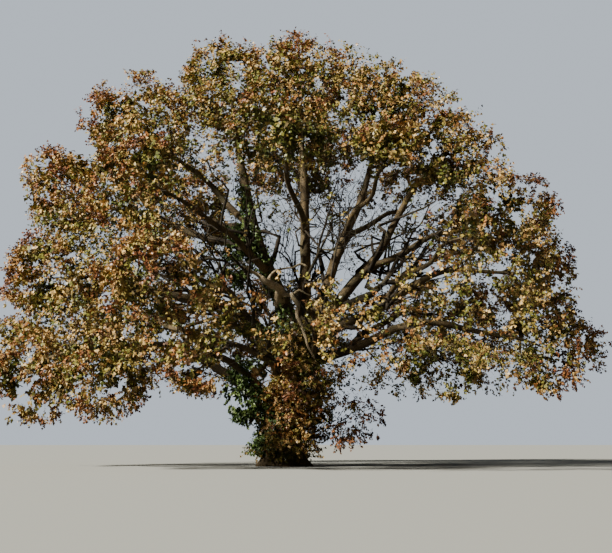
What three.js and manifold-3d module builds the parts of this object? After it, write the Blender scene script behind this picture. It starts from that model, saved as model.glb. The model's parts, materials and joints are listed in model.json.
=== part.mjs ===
// A field-grown sycamore in autumn leaf, about 19 m tall and 27 m across, in millimetres.
// The origin is the centre of the flat cut at ground level. +Z is up, -Y is towards the viewer, +X is right.
// A short bole forks low into boughs and leaders. Each ends where it enters a mass of foliage: one stem with
// twigs that branch from it by a seeded rule, and blades that each stand for a spray of leaves.
import * as THREE from "three";
import { mergeVertices } from "three/addons/utils/BufferGeometryUtils.js";
import Module from "manifold-3d";

const wasm = await Module();
wasm.setup();

// Bole
const BOLE_FORK_HEIGHT = 5400;
const BOLE_LEAN_RIGHT = 800;
const BOLE_RADIUS = 800;
const BOLE_FORK_RADIUS = 560;
const FLARE_RADIUS = 300;
const FLARE_FADE_HEIGHT = 480;
const BUTTRESSES = 5;
const BUTTRESS_SHARE = 0.3;
const BOLE_SIDES = 16;
const BOLE_RINGS = [0, 0.03, 0.07, 0.14, 0.26, 0.42, 0.6, 0.8, 1];

// Limbs
const LIMB_SIDES = 6;
const LIMB_RING_SPACING = 1500;
const LIMB_END_RADIUS = 38;
const LIMB_TAPER = 0.78;
const LEAVING_PULL = 0.38;
const ARRIVING_PULL = 0.34;
const KINK_SHARE = 0.03;
const KINK_TURNS = 2.6;
const KINK_RISE_SHARE = 0.7;
const KINK_RISE_TURNS = 3.4;
const KINK_STEP = 1.7;
const STEM_SIDES = 4;
const STEM_RINGS = 3;
const STUB_RINGS = 2;
const BEADS = 80;
const LEAST_STUB = 0.02;
const LONGEST_STUB = 0.6;
const ENTRY_REACH = 0.92;
const LATEST_ENTRY = 0.93;

// Pieces that meet
const JOINT_GAP = 0.3;
const LIMB_ROOM = 60;
const SEAM_TOLERANCE = 8;
const WELD_TOLERANCE = 0.001;

// Foliage
const GOLDEN_ANGLE = Math.PI * (3 - Math.sqrt(5));
const SEED_STEP = 7919;
const MASS_GAP = 40;
const GROUND_ROOM = 500;
const SITE_NEAR = 0.3;
const SITE_FAR = 0.62;
const TWIG_RADIUS = 34;
const TWIG_LEAST_RADIUS = 22;
const TWIG_SHARE = 0.55;
const TWIG_NECK_SHARE = 0.6;
const FORK_SHARE = 0.42;
const PATH_COST = 0.3;
const BLADE_LENGTH = 2300;
const BLADE_WIDTH_SHARE = 0.86;
const BLADE_WIDEST_AT = 0.42;
const BLADE_THICK_SHARE = 0.024;
const BLADE_REACH = 1.04;
const BLADE_DROOP = 0.8;
const DROOP_END_HEIGHT = 18000;
const BLADE_LIFT = 1.2;
const BLADE_SWING = 0.5;
const BLADE_FACE_UP = 0.4;
const BLADE_ROLL = 110;
const BLADE_LENGTH_SPREAD = 0.3;
const BLADE_SIZES = [1, 0.85, 0.7, 0.55, 0.42];
const SIDE_BLADE_SHARE = 0.9;
const SIDE_BLADES = [{ share: 0.58, turn: 58 }, { share: 0.8, turn: -58 }];
const BLADE_ROOM = 140;
const TWIG_ROOM = 110;
const SAMPLE_STEP = 150;
const WOOD_REACH = 6000;

const BARK = { color: 0x7d7363, roughness: 0.9, metalness: 0 };
const DEAD_WOOD = { color: 0xb3a78c, roughness: 0.85, metalness: 0 };
const AUTUMN_LEAF = { color: 0x9a7434, roughness: 0.7, metalness: 0 };
const CLIMBER_LEAF = { color: 0x33491f, roughness: 0.6, metalness: 0 };

// One row for each limb and the mass that it carries. fork is the share along the parent where it leaves,
// leave and arrive are elevations in degrees, and heading, reach and height place the middle of its mass:
// heading 0 is right, 90 is away from the viewer. root is its radius at the fork. out, across and up are the
// mass's half sizes, and sprays is how many twigs it may carry.
const LIMBS = [
  {
    name: "left_low", parent: "trunk", fork: 0.34, leave: 48, arrive: -34, root: 250,
    heading: 185, reach: 11000, height: 4150, out: 2750, across: 3500, up: 2900, sprays: 8,
  },
  {
    name: "left_mid", parent: "trunk", fork: 0.84, leave: 46, arrive: 0, root: 260,
    heading: 189, reach: 10000, height: 8050, out: 2850, across: 3300, up: 2500, sprays: 8,
  },
  {
    name: "left_leader", parent: "trunk", fork: 0.98, leaveHeading: 180, leave: 64, arrive: 86,
    root: 350, heading: 201, reach: 2600, height: 16950, out: 2850, across: 2800, up: 2750, sprays: 9,
  },
  {
    name: "centre_leader", parent: "trunk", fork: 1, leaveHeading: 0, leave: 86, arrive: 82,
    root: 310, heading: 324, reach: 850, height: 17150, out: 2800, across: 2800, up: 2650, sprays: 9,
  },
  {
    name: "right_leader", parent: "trunk", fork: 0.97, leaveHeading: 0, leave: 66, arrive: 76,
    root: 280, heading: 0, reach: 4600, height: 16050, out: 2900, across: 2800, up: 2600, sprays: 8,
  },
  {
    name: "right_stem", parent: "trunk", fork: 0.93, leave: 46, arrive: 52, root: 290,
    heading: 0, reach: 7200, height: 14100, out: 2700, across: 2900, up: 2300, sprays: 10,
  },
  {
    name: "right_bough", parent: "trunk", fork: 0.88, leaveHeading: 352, leave: 36, arrive: -12,
    root: 240, heading: 358, reach: 10850, height: 8400, out: 2500, across: 3300, up: 2250, sprays: 9,
  },
  {
    name: "right_low", parent: "trunk", fork: 0.76, leaveHeading: 345, leave: 26, arrive: -28,
    root: 235, heading: 355, reach: 11350, height: 5050, out: 3050, across: 3300, up: 2500, sprays: 8,
  },
  {
    name: "front_left_low", parent: "trunk", fork: 0.4, leaveHeading: 195, leave: 50, arrive: -42,
    root: 190, heading: 218, reach: 8900, height: 3700, out: 2500, across: 2900, up: 2300, sprays: 8,
  },
  {
    name: "front_low", parent: "trunk", fork: 0.52, leave: 44, arrive: -20, root: 170,
    heading: 250, reach: 7300, height: 4250, out: 2400, across: 2500, up: 1950, sprays: 8,
  },
  {
    name: "front_mid", parent: "trunk", fork: 0.72, leaveHeading: 318, leave: 28, arrive: 0, root: 150,
    heading: 290, reach: 5200, height: 5900, out: 2000, across: 1700, up: 1250, sprays: 6,
  },
  {
    name: "back_low", parent: "trunk", fork: 0.8, leave: 46, arrive: -6, root: 260,
    heading: 89, reach: 9500, height: 7600, out: 3000, across: 4200, up: 3200, sprays: 8,
  },
  {
    name: "left_low_back", parent: "left_low", fork: 0.3, leave: 30, arrive: -8, root: 165,
    heading: 137, reach: 10600, height: 7300, out: 3000, across: 4100, up: 3100, sprays: 7,
  },
  {
    name: "front_left", parent: "left_mid", fork: 0.24, leave: 26, arrive: -6, root: 170,
    heading: 244, reach: 9700, height: 7000, out: 2600, across: 3300, up: 2000, sprays: 8,
  },
  {
    name: "left_high", parent: "left_leader", fork: 0.34, leave: 24, arrive: 22, root: 170,
    heading: 183, reach: 9850, height: 12200, out: 2400, across: 3300, up: 2400, sprays: 9,
  },
  {
    name: "left_shoulder", parent: "left_leader", fork: 0.46, leave: 42, arrive: 34, root: 160,
    heading: 180, reach: 6700, height: 15300, out: 3200, across: 3000, up: 2750, sprays: 8,
  },
  {
    name: "front_left_high", parent: "left_leader", fork: 0.26, leave: 26, arrive: 10, root: 165,
    heading: 234, reach: 8600, height: 10900, out: 2600, across: 3400, up: 2300, sprays: 7,
  },
  {
    name: "back_left_high", parent: "left_leader", fork: 0.4, leave: 40, arrive: 30, root: 165,
    heading: 131, reach: 8500, height: 12800, out: 2900, across: 4000, up: 2900, sprays: 8,
  },
  {
    name: "front_top", parent: "centre_leader", fork: 0.4, leave: 30, arrive: 14, root: 150,
    heading: 268, reach: 6500, height: 12900, out: 2500, across: 3000, up: 1950, sprays: 7,
  },
  {
    name: "back_top", parent: "centre_leader", fork: 0.44, leave: 48, arrive: 36, root: 160,
    heading: 84, reach: 6300, height: 15500, out: 2800, across: 3800, up: 2300, sprays: 8,
  },
  {
    name: "front_top_right", parent: "right_leader", fork: 0.42, leave: 36, arrive: 14, root: 140,
    heading: 308, reach: 7500, height: 12300, out: 2400, across: 2700, up: 1850, sprays: 8,
  },
  {
    name: "back_right_high", parent: "right_leader", fork: 0.36, leave: 44, arrive: 30, root: 165,
    heading: 42, reach: 8600, height: 13100, out: 2800, across: 3900, up: 2700, sprays: 8,
  },
  {
    name: "right_high", parent: "right_stem", fork: 0.42, leave: 26, arrive: 20, root: 165,
    heading: 0, reach: 10000, height: 11350, out: 2850, across: 3000, up: 2150, sprays: 8,
  },
  {
    name: "front_right", parent: "right_bough", fork: 0.36, leave: 24, arrive: 0, root: 135,
    heading: 319, reach: 9400, height: 8900, out: 2300, across: 2500, up: 1750, sprays: 8,
  },
  {
    name: "right_low_inner", parent: "right_low", fork: 0.42, leave: -4, arrive: -42, root: 120,
    heading: 334, reach: 7300, height: 4200, out: 2300, across: 2500, up: 1900, sprays: 7,
  },
  {
    name: "back_right_low", parent: "right_low", fork: 0.22, leave: 34, arrive: 0, root: 165,
    heading: 41, reach: 10500, height: 7500, out: 2900, across: 4200, up: 3000, sprays: 8,
  },
];

// Shoots and climbing growth that stand on the bole with no bough between.
const BOLE_GROWTH = [
  {
    name: "shoots_right", fork: 0.12, leave: 24, arrive: 20, root: 80, bladeLength: 800,
    heading: 338, reach: 2800, height: 2000, out: 2000, across: 1600, up: 1550, sprays: 5,
  },
  {
    name: "shoots_front", fork: 0.36, leave: 30, arrive: 40, root: 80, bladeLength: 800,
    heading: 298, reach: 2600, height: 3600, out: 1500, across: 1700, up: 1250, sprays: 5,
  },
  {
    name: "climber_left", fork: 0.3, leave: 30, arrive: 75, root: 80, bladeLength: 760, climber: true,
    heading: 198, reach: 1750, height: 3300, out: 1000, across: 1350, up: 2000, sprays: 8,
  },
  {
    name: "climber_high", parent: "left_leader", fork: 0.2, leave: 30, arrive: 75, root: 60,
    bladeLength: 760, climber: true,
    heading: 196, reach: 2150, height: 9300, out: 850, across: 1300, up: 1700, sprays: 8,
  },
  {
    name: "climber_back", fork: 0.3, leave: 30, arrive: 75, root: 80, bladeLength: 760, climber: true,
    heading: 60, reach: 1800, height: 3200, out: 1000, across: 1500, up: 1900, sprays: 6,
  },
];

// The broken limb over the fork: an arm to the left, and an end that hangs.
const DEAD_LIMBS = [
  {
    name: "dead_arm", parent: "left_leader", fork: 0.15, leaveHeading: 262, leave: 24,
    arriveHeading: 205, arrive: 18, root: 200, tip: 125, heading: 244.5, reach: 2440, height: 8000,
  },
  {
    name: "dead_hanging_end", parent: "dead_arm", fork: 0.3, leaveHeading: 300, leave: 2,
    arriveHeading: 300, arrive: -58, root: 110, tip: 35, heading: 295, reach: 2870, height: 4600,
  },
];

const radians = (degrees) => (degrees * Math.PI) / 180;

function direction(heading, elevation) {
  const level = Math.cos(radians(elevation));
  return new THREE.Vector3(
    level * Math.cos(radians(heading)),
    level * Math.sin(radians(heading)),
    Math.sin(radians(elevation)),
  );
}

// Park and Miller's generator, so that a seed always grows the same twigs.
function randomFrom(seed) {
  let state = seed;
  return () => {
    state = (state * 16807) % 2147483647;
    return state / 2147483647;
  };
}

// A cubic curve that leaves and arrives in set directions, with slow kinks to the side and up and down.
class LimbCurve extends THREE.Curve {
  constructor(start, end, leaving, arriving, kinkShare, seed) {
    super();
    const length = start.distanceTo(end);
    this.cubic = new THREE.CubicBezierCurve3(
      start,
      start.clone().addScaledVector(leaving, length * LEAVING_PULL),
      end.clone().addScaledVector(arriving, -length * ARRIVING_PULL),
      end,
    );
    this.side = new THREE.Vector3(-leaving.y, leaving.x, 0).normalize();
    this.kink = kinkShare * length;
    this.phase = seed * KINK_STEP;
  }

  getPoint(t, target = new THREE.Vector3()) {
    this.cubic.getPoint(t, target);
    const kink = this.kink * Math.sin(Math.PI * t);
    target.addScaledVector(this.side, kink * Math.sin(KINK_TURNS * Math.PI * t + this.phase));
    target.z += KINK_RISE_SHARE * kink * Math.cos(KINK_RISE_TURNS * Math.PI * t + this.phase);
    return target;
  }
}

// A solid from a closed geometry.
function solidOf(geometry) {
  const bare = geometry.clone();
  bare.deleteAttribute("normal");
  bare.deleteAttribute("uv");
  const merged = mergeVertices(bare, WELD_TOLERANCE);
  const { array: vertProperties } = merged.getAttribute("position");
  return new wasm.Manifold(
    new wasm.Mesh({ numProp: 3, vertProperties, triVerts: new Uint32Array(merged.index.array) }),
  );
}

// The one body that counts: loose scraps are dropped and a hollow that fusing sealed is filled.
function wholeOf(solid) {
  return solid.decompose().reduce((best, body) => (body.volume() > best.volume() ? body : best));
}

// A closed solid through rings. Each ring has a centre, two directions across it and a half size in each.
// The last one may be a point.
function loft(rings, sides, profile = () => 1) {
  const pointed = rings.at(-1).wide === 0;
  const geometry = new THREE.CylinderGeometry(pointed ? 0 : 1, 1, 1, sides, rings.length - 1);
  const position = geometry.getAttribute("position");
  for (let i = 0; i < position.count; i++) {
    const row = Math.round((position.getY(i) + 0.5) * (rings.length - 1));
    const { centre, across, normal, wide, deep } = rings[row];
    const [x, z] = [position.getX(i), position.getZ(i)];
    const onRim = Math.hypot(x, z) > 0;
    const angle = Math.atan2(z, x);
    const swell = onRim ? profile(angle, centre) : 0;
    const point = centre.clone()
      .addScaledVector(across, Math.cos(angle) * wide * swell)
      .addScaledVector(normal, Math.sin(angle) * deep * swell);
    position.setXYZ(i, point.x, point.y, point.z);
  }
  return solidOf(geometry);
}

// Round rings along part of a curve, at the given parameters
function ringsAlong(curve, places, radiusAt) {
  return places.map((t) => {
    const along = curve.getTangent(t);
    const across = curve.side.clone().addScaledVector(along, -curve.side.dot(along)).normalize();
    const normal = across.clone().cross(along);
    return { centre: curve.getPoint(t), across, normal, wide: radiusAt(t), deep: radiusAt(t) };
  });
}

function spread(from, to, count) {
  return Array.from({ length: count + 1 }, (_, i) => from + ((to - from) * i) / count);
}

// Bole

// It stands upright on the ground, with no kink, and leans to the right as it nears the fork.
const boleCurve = new LimbCurve(
  new THREE.Vector3(0, 0, 0), new THREE.Vector3(BOLE_LEAN_RIGHT, 0, BOLE_FORK_HEIGHT),
  direction(0, 90), direction(0, 72), 0, 0,
);
boleCurve.side = new THREE.Vector3(0, 1, 0);

function boleRadius(t) {
  const height = boleCurve.getPoint(t).z;
  const taper = BOLE_RADIUS + (BOLE_FORK_RADIUS - BOLE_RADIUS) * (height / BOLE_FORK_HEIGHT);
  return taper + FLARE_RADIUS * Math.exp(-height / FLARE_FADE_HEIGHT);
}

// The buttresses of the root flare, which fade with height as the flare does
function buttresses(angle, { z }) {
  return 1 + BUTTRESS_SHARE * Math.exp(-z / FLARE_FADE_HEIGHT) * Math.cos(BUTTRESSES * angle + 1);
}

// Limbs

const bole = { name: "trunk", curve: boleCurve, radiusAt: boleRadius, start: 0, end: 1, children: [] };
const limbs = new Map([["trunk", bole]]);

function taperFrom(root, tip) {
  return (t) => tip + (root - tip) * Math.max(0, 1 - t) ** LIMB_TAPER;
}

function addLimb(row) {
  const parent = limbs.get(row.parent ?? "trunk");
  const from = parent.curve.getPoint(row.fork);
  const middle = direction(row.heading, 0).multiplyScalar(row.reach).setZ(row.height);
  const bearing = (Math.atan2(middle.y - from.y, middle.x - from.x) * 180) / Math.PI;
  const leaving = direction(row.leaveHeading ?? bearing, row.leave);
  const arriving = direction(row.arriveHeading ?? bearing, row.arrive);
  const seed = limbs.size;
  const limb = {
    ...row,
    seed,
    middle,
    parent,
    curve: new LimbCurve(from, middle, leaving, arriving, KINK_SHARE, seed),
    radiusAt: taperFrom(row.root, row.tip ?? LIMB_END_RADIUS),
    children: [],
    end: 1,
  };
  parent.children.push(limb);
  limbs.set(row.name, limb);
  return limb;
}

// Points along a limb with the radius at each
function beads(limb, from = 0, to = 1) {
  return spread(from, to, BEADS).map((t) => ({
    t, point: limb.curve.getPoint(t), radius: limb.radiusAt(t),
  }));
}

// Where a limb first stands clear of its parent and of every limb that leaves near it. Up to there it is a
// stub that is one with the parent.
function clearedAt(limb) {
  const others = [limb.parent, ...limb.parent.children.filter((other) => other !== limb)];
  const around = others.flatMap((other) => beads(other));
  let cleared = LEAST_STUB;
  for (const { t, point, radius } of beads(limb)) {
    const held = around.some((bead) => bead.point.distanceTo(point) < bead.radius + radius + LIMB_ROOM);
    if (held && t < LONGEST_STUB) cleared = t + 1 / BEADS;
  }
  return cleared;
}

// Foliage

function localAxes(heading) {
  const out = direction(heading, 0);
  return [out, new THREE.Vector3(-out.y, out.x, 0), new THREE.Vector3(0, 0, 1)];
}

// The space of a mass is an ellipsoid, cut by the planes that keep it clear of the masses beside it.
function inSpace(mass, point, masses, reach = 1) {
  if (point.z < GROUND_ROOM) return false;
  const offset = point.clone().sub(mass.middle);
  const [out, across, up] = mass.axes.map((axis) => axis.dot(offset));
  if (Math.hypot(out / mass.out, across / mass.across, up / mass.up) > reach) return false;
  return masses.every((other) => {
    if (other === mass) return true;
    const apart = other.middle.distanceTo(mass.middle);
    const own = offset.lengthSq() - mass.size ** 2;
    const theirs = point.distanceToSquared(other.middle) - other.size ** 2;
    return (own - theirs) / (2 * apart) < -MASS_GAP;
  });
}

// Where a limb's curve enters its own mass for good
function entersAt(limb, masses) {
  let entry = limb.start;
  for (const { t, point } of beads(limb)) {
    if (t > limb.start && !inSpace(limb, point, masses, ENTRY_REACH)) entry = t;
  }
  return Math.min(entry, LATEST_ENTRY);
}

// Whether every point is further than the given room from the surface of every bead
function clearOf(points, room, taken) {
  return points.every((point) => taken.every((bead) => bead.point.distanceTo(point) > bead.radius + room));
}

function asBeads(points) {
  return points.map((point) => ({ point, radius: 0 }));
}

// The corners of a blade: its two edges and its tip
function bladeCorners({ root, along, normal, length }) {
  const across = along.clone().cross(normal).normalize();
  const belly = root.clone().addScaledVector(along, BLADE_WIDEST_AT * length);
  const half = (length * BLADE_WIDTH_SHARE) / 2;
  return [
    belly.clone().addScaledVector(across, half),
    belly.clone().addScaledVector(across, -half),
    root.clone().addScaledVector(along, length),
  ];
}

// Points over a blade, close enough together for the test against limbs
function bladePoints({ root, along, normal, length }) {
  const across = along.clone().cross(normal).normalize();
  const steps = Math.ceil(length / SAMPLE_STEP);
  const points = [];
  for (let i = 0; i <= steps; i++) {
    const share = i / steps;
    const fullness = share < BLADE_WIDEST_AT ? share / BLADE_WIDEST_AT : (1 - share) / (1 - BLADE_WIDEST_AT);
    const half = (fullness * length * BLADE_WIDTH_SHARE) / 2;
    const columns = Math.ceil(half / SAMPLE_STEP);
    for (let j = -columns; j <= columns; j++) {
      const sideways = columns ? (half * j) / columns : 0;
      points.push(root.clone().addScaledVector(along, share * length).addScaledVector(across, sideways));
    }
  }
  return points;
}

function twigPoints(from, to) {
  const steps = Math.ceil(from.distanceTo(to) / SAMPLE_STEP);
  return spread(0, 1, steps).map((share) => from.clone().lerp(to, share));
}

// A side blade: eight thin faces, its root in the middle of the twig
function bladeSolid({ root, along, normal, length }) {
  const across = along.clone().cross(normal).normalize();
  const geometry = new THREE.OctahedronGeometry(1);
  const position = geometry.getAttribute("position");
  for (let i = 0; i < position.count; i++) {
    const [x, y, z] = [position.getX(i), position.getY(i), position.getZ(i)];
    const share = Math.abs(x) > 0.5 ? (x + 1) / 2 : BLADE_WIDEST_AT;
    const point = root.clone()
      .addScaledVector(along, share * length)
      .addScaledVector(normal, (y * length * BLADE_THICK_SHARE) / 2)
      .addScaledVector(across, (z * length * BLADE_WIDTH_SHARE) / 2);
    position.setXYZ(i, point.x, point.y, point.z);
  }
  return solidOf(geometry);
}

// A three-sided twig that opens into its end blade, flat above with a keel below, with its side blades
function spraySolids({ from, radius, end, sides }) {
  const { root, along, normal, length } = end;
  const twig = root.clone().sub(from).normalize();
  const across = along.clone().cross(normal).normalize();
  const twigNormal = normal.clone().addScaledVector(twig, -normal.dot(twig)).normalize();
  const twigAcross = twig.clone().cross(twigNormal);
  const neck = radius * TWIG_NECK_SHARE;
  const ring = (centre, side, up, wide, deep) => ({ centre, across: side, normal: up, wide, deep });
  const twigAndEnd = loft([
    ring(from, twigAcross, twigNormal, radius, radius),
    ring(root, twigAcross, twigNormal, neck, neck),
    ring(
      root.clone().addScaledVector(along, BLADE_WIDEST_AT * length), across, normal,
      (length * BLADE_WIDTH_SHARE) / 2 / Math.cos(Math.PI / 6), (length * BLADE_THICK_SHARE) / 1.5,
    ),
    ring(root.clone().addScaledVector(along, length), across, normal, 0, 0),
  ], 3);
  return [twigAndEnd, ...sides.map(bladeSolid)];
}

// Where the twigs of a mass end: spread evenly round its middle, nearest the stem's foot first
function sitesOf(mass, random) {
  const foot = mass.curve.getPoint(mass.end);
  const phase = random() * 2 * Math.PI;
  const sites = spread(0, mass.sprays - 1, mass.sprays - 1).map((i) => {
    const rise = 1 - (2 * (i + 0.5)) / mass.sprays;
    const level = Math.sqrt(1 - rise * rise);
    const turn = phase + i * GOLDEN_ANGLE;
    const share = SITE_NEAR + (SITE_FAR - SITE_NEAR) * Math.sqrt(random());
    const offset = [
      level * Math.cos(turn) * mass.out,
      level * Math.sin(turn) * mass.across,
      rise * mass.up,
    ];
    const point = mass.middle.clone();
    mass.axes.forEach((axis, k) => point.addScaledVector(axis, offset[k] * share));
    return { point, tilt: random(), roll: random() };
  });
  return sites.sort((a, b) => a.point.distanceTo(foot) - b.point.distanceTo(foot));
}

// The blade at the end of a twig. It lies over the mass as a tile does: it faces outwards and a little up,
// rises at the top of the mass and hangs at its foot, and hangs more the lower the mass is on the tree.
function endBladeAt(mass, { point, tilt, roll }) {
  const outward = point.clone().sub(mass.middle).normalize();
  const along = new THREE.Vector3(outward.x, outward.y, 0).normalize();
  along.addScaledVector(new THREE.Vector3(-along.y, along.x, 0), BLADE_SWING * (roll - 0.5));
  const droop = BLADE_DROOP * (1 - mass.middle.z / DROOP_END_HEIGHT);
  along.z = BLADE_LIFT * outward.z - droop + BLADE_SWING * (tilt - 0.5);
  along.normalize();
  const normal = outward.add(new THREE.Vector3(0, 0, BLADE_FACE_UP));
  normal.addScaledVector(along, -normal.dot(along)).normalize();
  normal.applyAxisAngle(along, radians(BLADE_ROLL * (tilt - 0.5)));
  const length = (mass.bladeLength ?? BLADE_LENGTH) * (1 + BLADE_LENGTH_SPREAD * (roll - 0.5));
  return { root: point, along, normal, length };
}

// The rule by which a mass grows. Each site is joined by a twig to the nearest place on the stem or on a
// twig that is already there, a long way round costing more. The twig ends in a blade, and blades stand out on
// both its sides. A twig or blade that would touch wood or another blade, or leave the space, is skipped.
function grow(mass, masses, wood) {
  const places = spread(mass.end, 1, STEM_RINGS).slice(1).map((t, i) => ({
    point: mass.curve.getPoint(t), path: (i * mass.out) / STEM_RINGS, radius: mass.radiusAt(t),
  }));
  const sprays = [];
  const taken = [];
  const fits = (blade) => {
    const points = bladePoints(blade);
    return bladeCorners(blade).every((corner) => inSpace(mass, corner, masses, BLADE_REACH))
      && clearOf(points, BLADE_ROOM, wood) && clearOf(points, BLADE_ROOM, taken);
  };
  const fitted = (blade) => {
    return BLADE_SIZES.map((size) => ({ ...blade, length: size * blade.length })).find(fits);
  };
  for (const site of sitesOf(mass, randomFrom(mass.seed * SEED_STEP))) {
    const { point } = site;
    const cost = (place) => place.point.distanceTo(point) + PATH_COST * place.path;
    const from = places.reduce((best, place) => (cost(place) < cost(best) ? place : best));
    const way = twigPoints(from.point, point);
    if (!clearOf(way, TWIG_ROOM, wood) || !clearOf(way, TWIG_ROOM, taken)) continue;
    const end = fitted(endBladeAt(mass, site));
    if (!end) continue;
    taken.push(...asBeads(bladePoints(end)));
    const sides = [];
    for (const { share, turn } of SIDE_BLADES) {
      const root = from.point.clone().lerp(point, share);
      const along = end.along.clone().applyAxisAngle(end.normal, radians(turn));
      const side = fitted({ ...end, root, along, length: SIDE_BLADE_SHARE * end.length });
      if (!side) continue;
      sides.push(side);
      taken.push(...asBeads(bladePoints(side).filter((edge) => edge.distanceTo(root) > BLADE_ROOM)));
    }
    const radius = Math.max(TWIG_LEAST_RADIUS, Math.min(TWIG_RADIUS, from.radius * TWIG_SHARE));
    sprays.push({ from: from.point, radius, end, sides });
    places.push({
      point: from.point.clone().lerp(point, FORK_SHARE),
      path: from.path + from.point.distanceTo(point) * FORK_SHARE,
      radius: radius * (1 - FORK_SHARE * (1 - TWIG_NECK_SHARE)),
    });
  }
  return sprays;
}

// Building

function meshOf(name, solid, finish) {
  const { numProp, vertProperties, triVerts } = solid.getMesh();
  const positions = new Float32Array((vertProperties.length / numProp) * 3);
  for (let i = 0; i < positions.length / 3; i++) {
    positions.set(vertProperties.subarray(i * numProp, i * numProp + 3), i * 3);
  }
  const geometry = new THREE.BufferGeometry();
  geometry.setAttribute("position", new THREE.BufferAttribute(positions, 3));
  geometry.setIndex(new THREE.BufferAttribute(triVerts, 1));
  geometry.computeVertexNormals();
  const mesh = new THREE.Mesh(geometry, new THREE.MeshStandardMaterial(finish));
  mesh.name = name;
  return mesh;
}

function limbSolid(limb, rings, sides, profile) {
  const gap = (child) => JOINT_GAP / child.curve.getLength();
  const pieces = [loft(ringsAlong(limb.curve, rings, limb.radiusAt), sides, profile)];
  for (const child of limb.children) {
    const stubRings = spread(0, child.start - gap(child), STUB_RINGS);
    pieces.push(loft(ringsAlong(child.curve, stubRings, child.radiusAt), child.sides));
  }
  return wholeOf(wasm.Manifold.union(pieces).simplify(SEAM_TOLERANCE));
}

// A limb with the stubs of the limbs that leave it
function woodSolid(limb) {
  const length = limb.curve.getLength() * (limb.end - limb.start);
  const count = Math.max(STUB_RINGS, Math.round(length / LIMB_RING_SPACING));
  return limbSolid(limb, spread(limb.start, limb.end, count), LIMB_SIDES);
}

function massSolid(mass, masses, wood) {
  const gap = JOINT_GAP / mass.curve.getLength();
  const places = spread(mass.end + gap, 1, STEM_RINGS);
  const stem = loft(ringsAlong(mass.curve, places, mass.radiusAt), STEM_SIDES);
  const sprays = grow(mass, masses, wood).flatMap(spraySolids);
  return wholeOf(wasm.Manifold.union([stem, ...sprays]).simplify(SEAM_TOLERANCE));
}

const boughs = LIMBS.map((row) => addLimb({ ...row, sides: LIMB_SIDES }));
const growths = BOLE_GROWTH.map((row) => addLimb({ ...row, sides: STEM_SIDES }));
const deadLimbs = DEAD_LIMBS.map((row) => addLimb({ ...row, sides: LIMB_SIDES }));
const masses = [...boughs, ...growths];
for (const mass of masses) {
  mass.axes = localAxes(mass.heading);
  mass.size = Math.cbrt(mass.out * mass.across * mass.up);
}
for (const limb of [...masses, ...deadLimbs]) limb.start = clearedAt(limb);
for (const bough of boughs) bough.end = entersAt(bough, masses);
for (const growth of growths) growth.end = growth.start;

const tree = new THREE.Group();
tree.name = "sycamore";
tree.add(meshOf("trunk", limbSolid(bole, BOLE_RINGS, BOLE_SIDES, buttresses), BARK));
for (const bough of boughs) tree.add(meshOf(`bough_${bough.name}`, woodSolid(bough), BARK));
for (const limb of deadLimbs) tree.add(meshOf(limb.name, woodSolid(limb), DEAD_WOOD));

// A mass keeps clear of all the wood near it but the end that its own stem grows on from.
const wood = [bole, ...masses, ...deadLimbs].flatMap((limb) => beads(limb, 0, limb.end));
for (const mass of masses) {
  const tip = mass.curve.getPoint(mass.end);
  const near = wood.filter(({ point }) => {
    return point.distanceTo(mass.middle) < WOOD_REACH && point.distanceTo(tip) > JOINT_GAP;
  });
  const finish = mass.climber ? CLIMBER_LEAF : AUTUMN_LEAF;
  tree.add(meshOf(`foliage_${mass.name}`, massSolid(mass, masses, near), finish));
}

export default tree;
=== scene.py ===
import json
import math

import bpy
import numpy as np
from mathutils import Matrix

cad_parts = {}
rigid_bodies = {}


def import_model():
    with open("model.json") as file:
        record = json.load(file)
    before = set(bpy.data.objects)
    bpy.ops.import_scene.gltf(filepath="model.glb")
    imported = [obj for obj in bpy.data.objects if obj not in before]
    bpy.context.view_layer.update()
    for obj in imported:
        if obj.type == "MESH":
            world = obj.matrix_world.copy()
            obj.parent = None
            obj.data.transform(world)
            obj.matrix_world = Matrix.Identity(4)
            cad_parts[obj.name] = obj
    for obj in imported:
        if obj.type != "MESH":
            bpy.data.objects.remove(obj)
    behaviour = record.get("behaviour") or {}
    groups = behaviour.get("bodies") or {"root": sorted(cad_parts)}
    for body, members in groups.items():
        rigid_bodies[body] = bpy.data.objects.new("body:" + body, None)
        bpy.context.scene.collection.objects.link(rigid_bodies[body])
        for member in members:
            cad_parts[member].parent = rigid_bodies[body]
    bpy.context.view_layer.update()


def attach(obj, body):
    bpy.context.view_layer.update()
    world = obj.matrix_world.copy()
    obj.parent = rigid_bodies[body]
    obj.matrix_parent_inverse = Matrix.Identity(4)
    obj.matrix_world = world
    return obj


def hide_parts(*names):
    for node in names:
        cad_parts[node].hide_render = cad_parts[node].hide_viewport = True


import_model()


# Limbs
# A field sycamore forks low into heavy limbs of living wood, and each tapers as it runs out to the middle
# of one mass of leaf. Sizes are in metres and degrees. Heading 0 is to the right, and 90 is away from the
# viewer.
UP = np.array([0.0, 0.0, 1.0])
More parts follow.
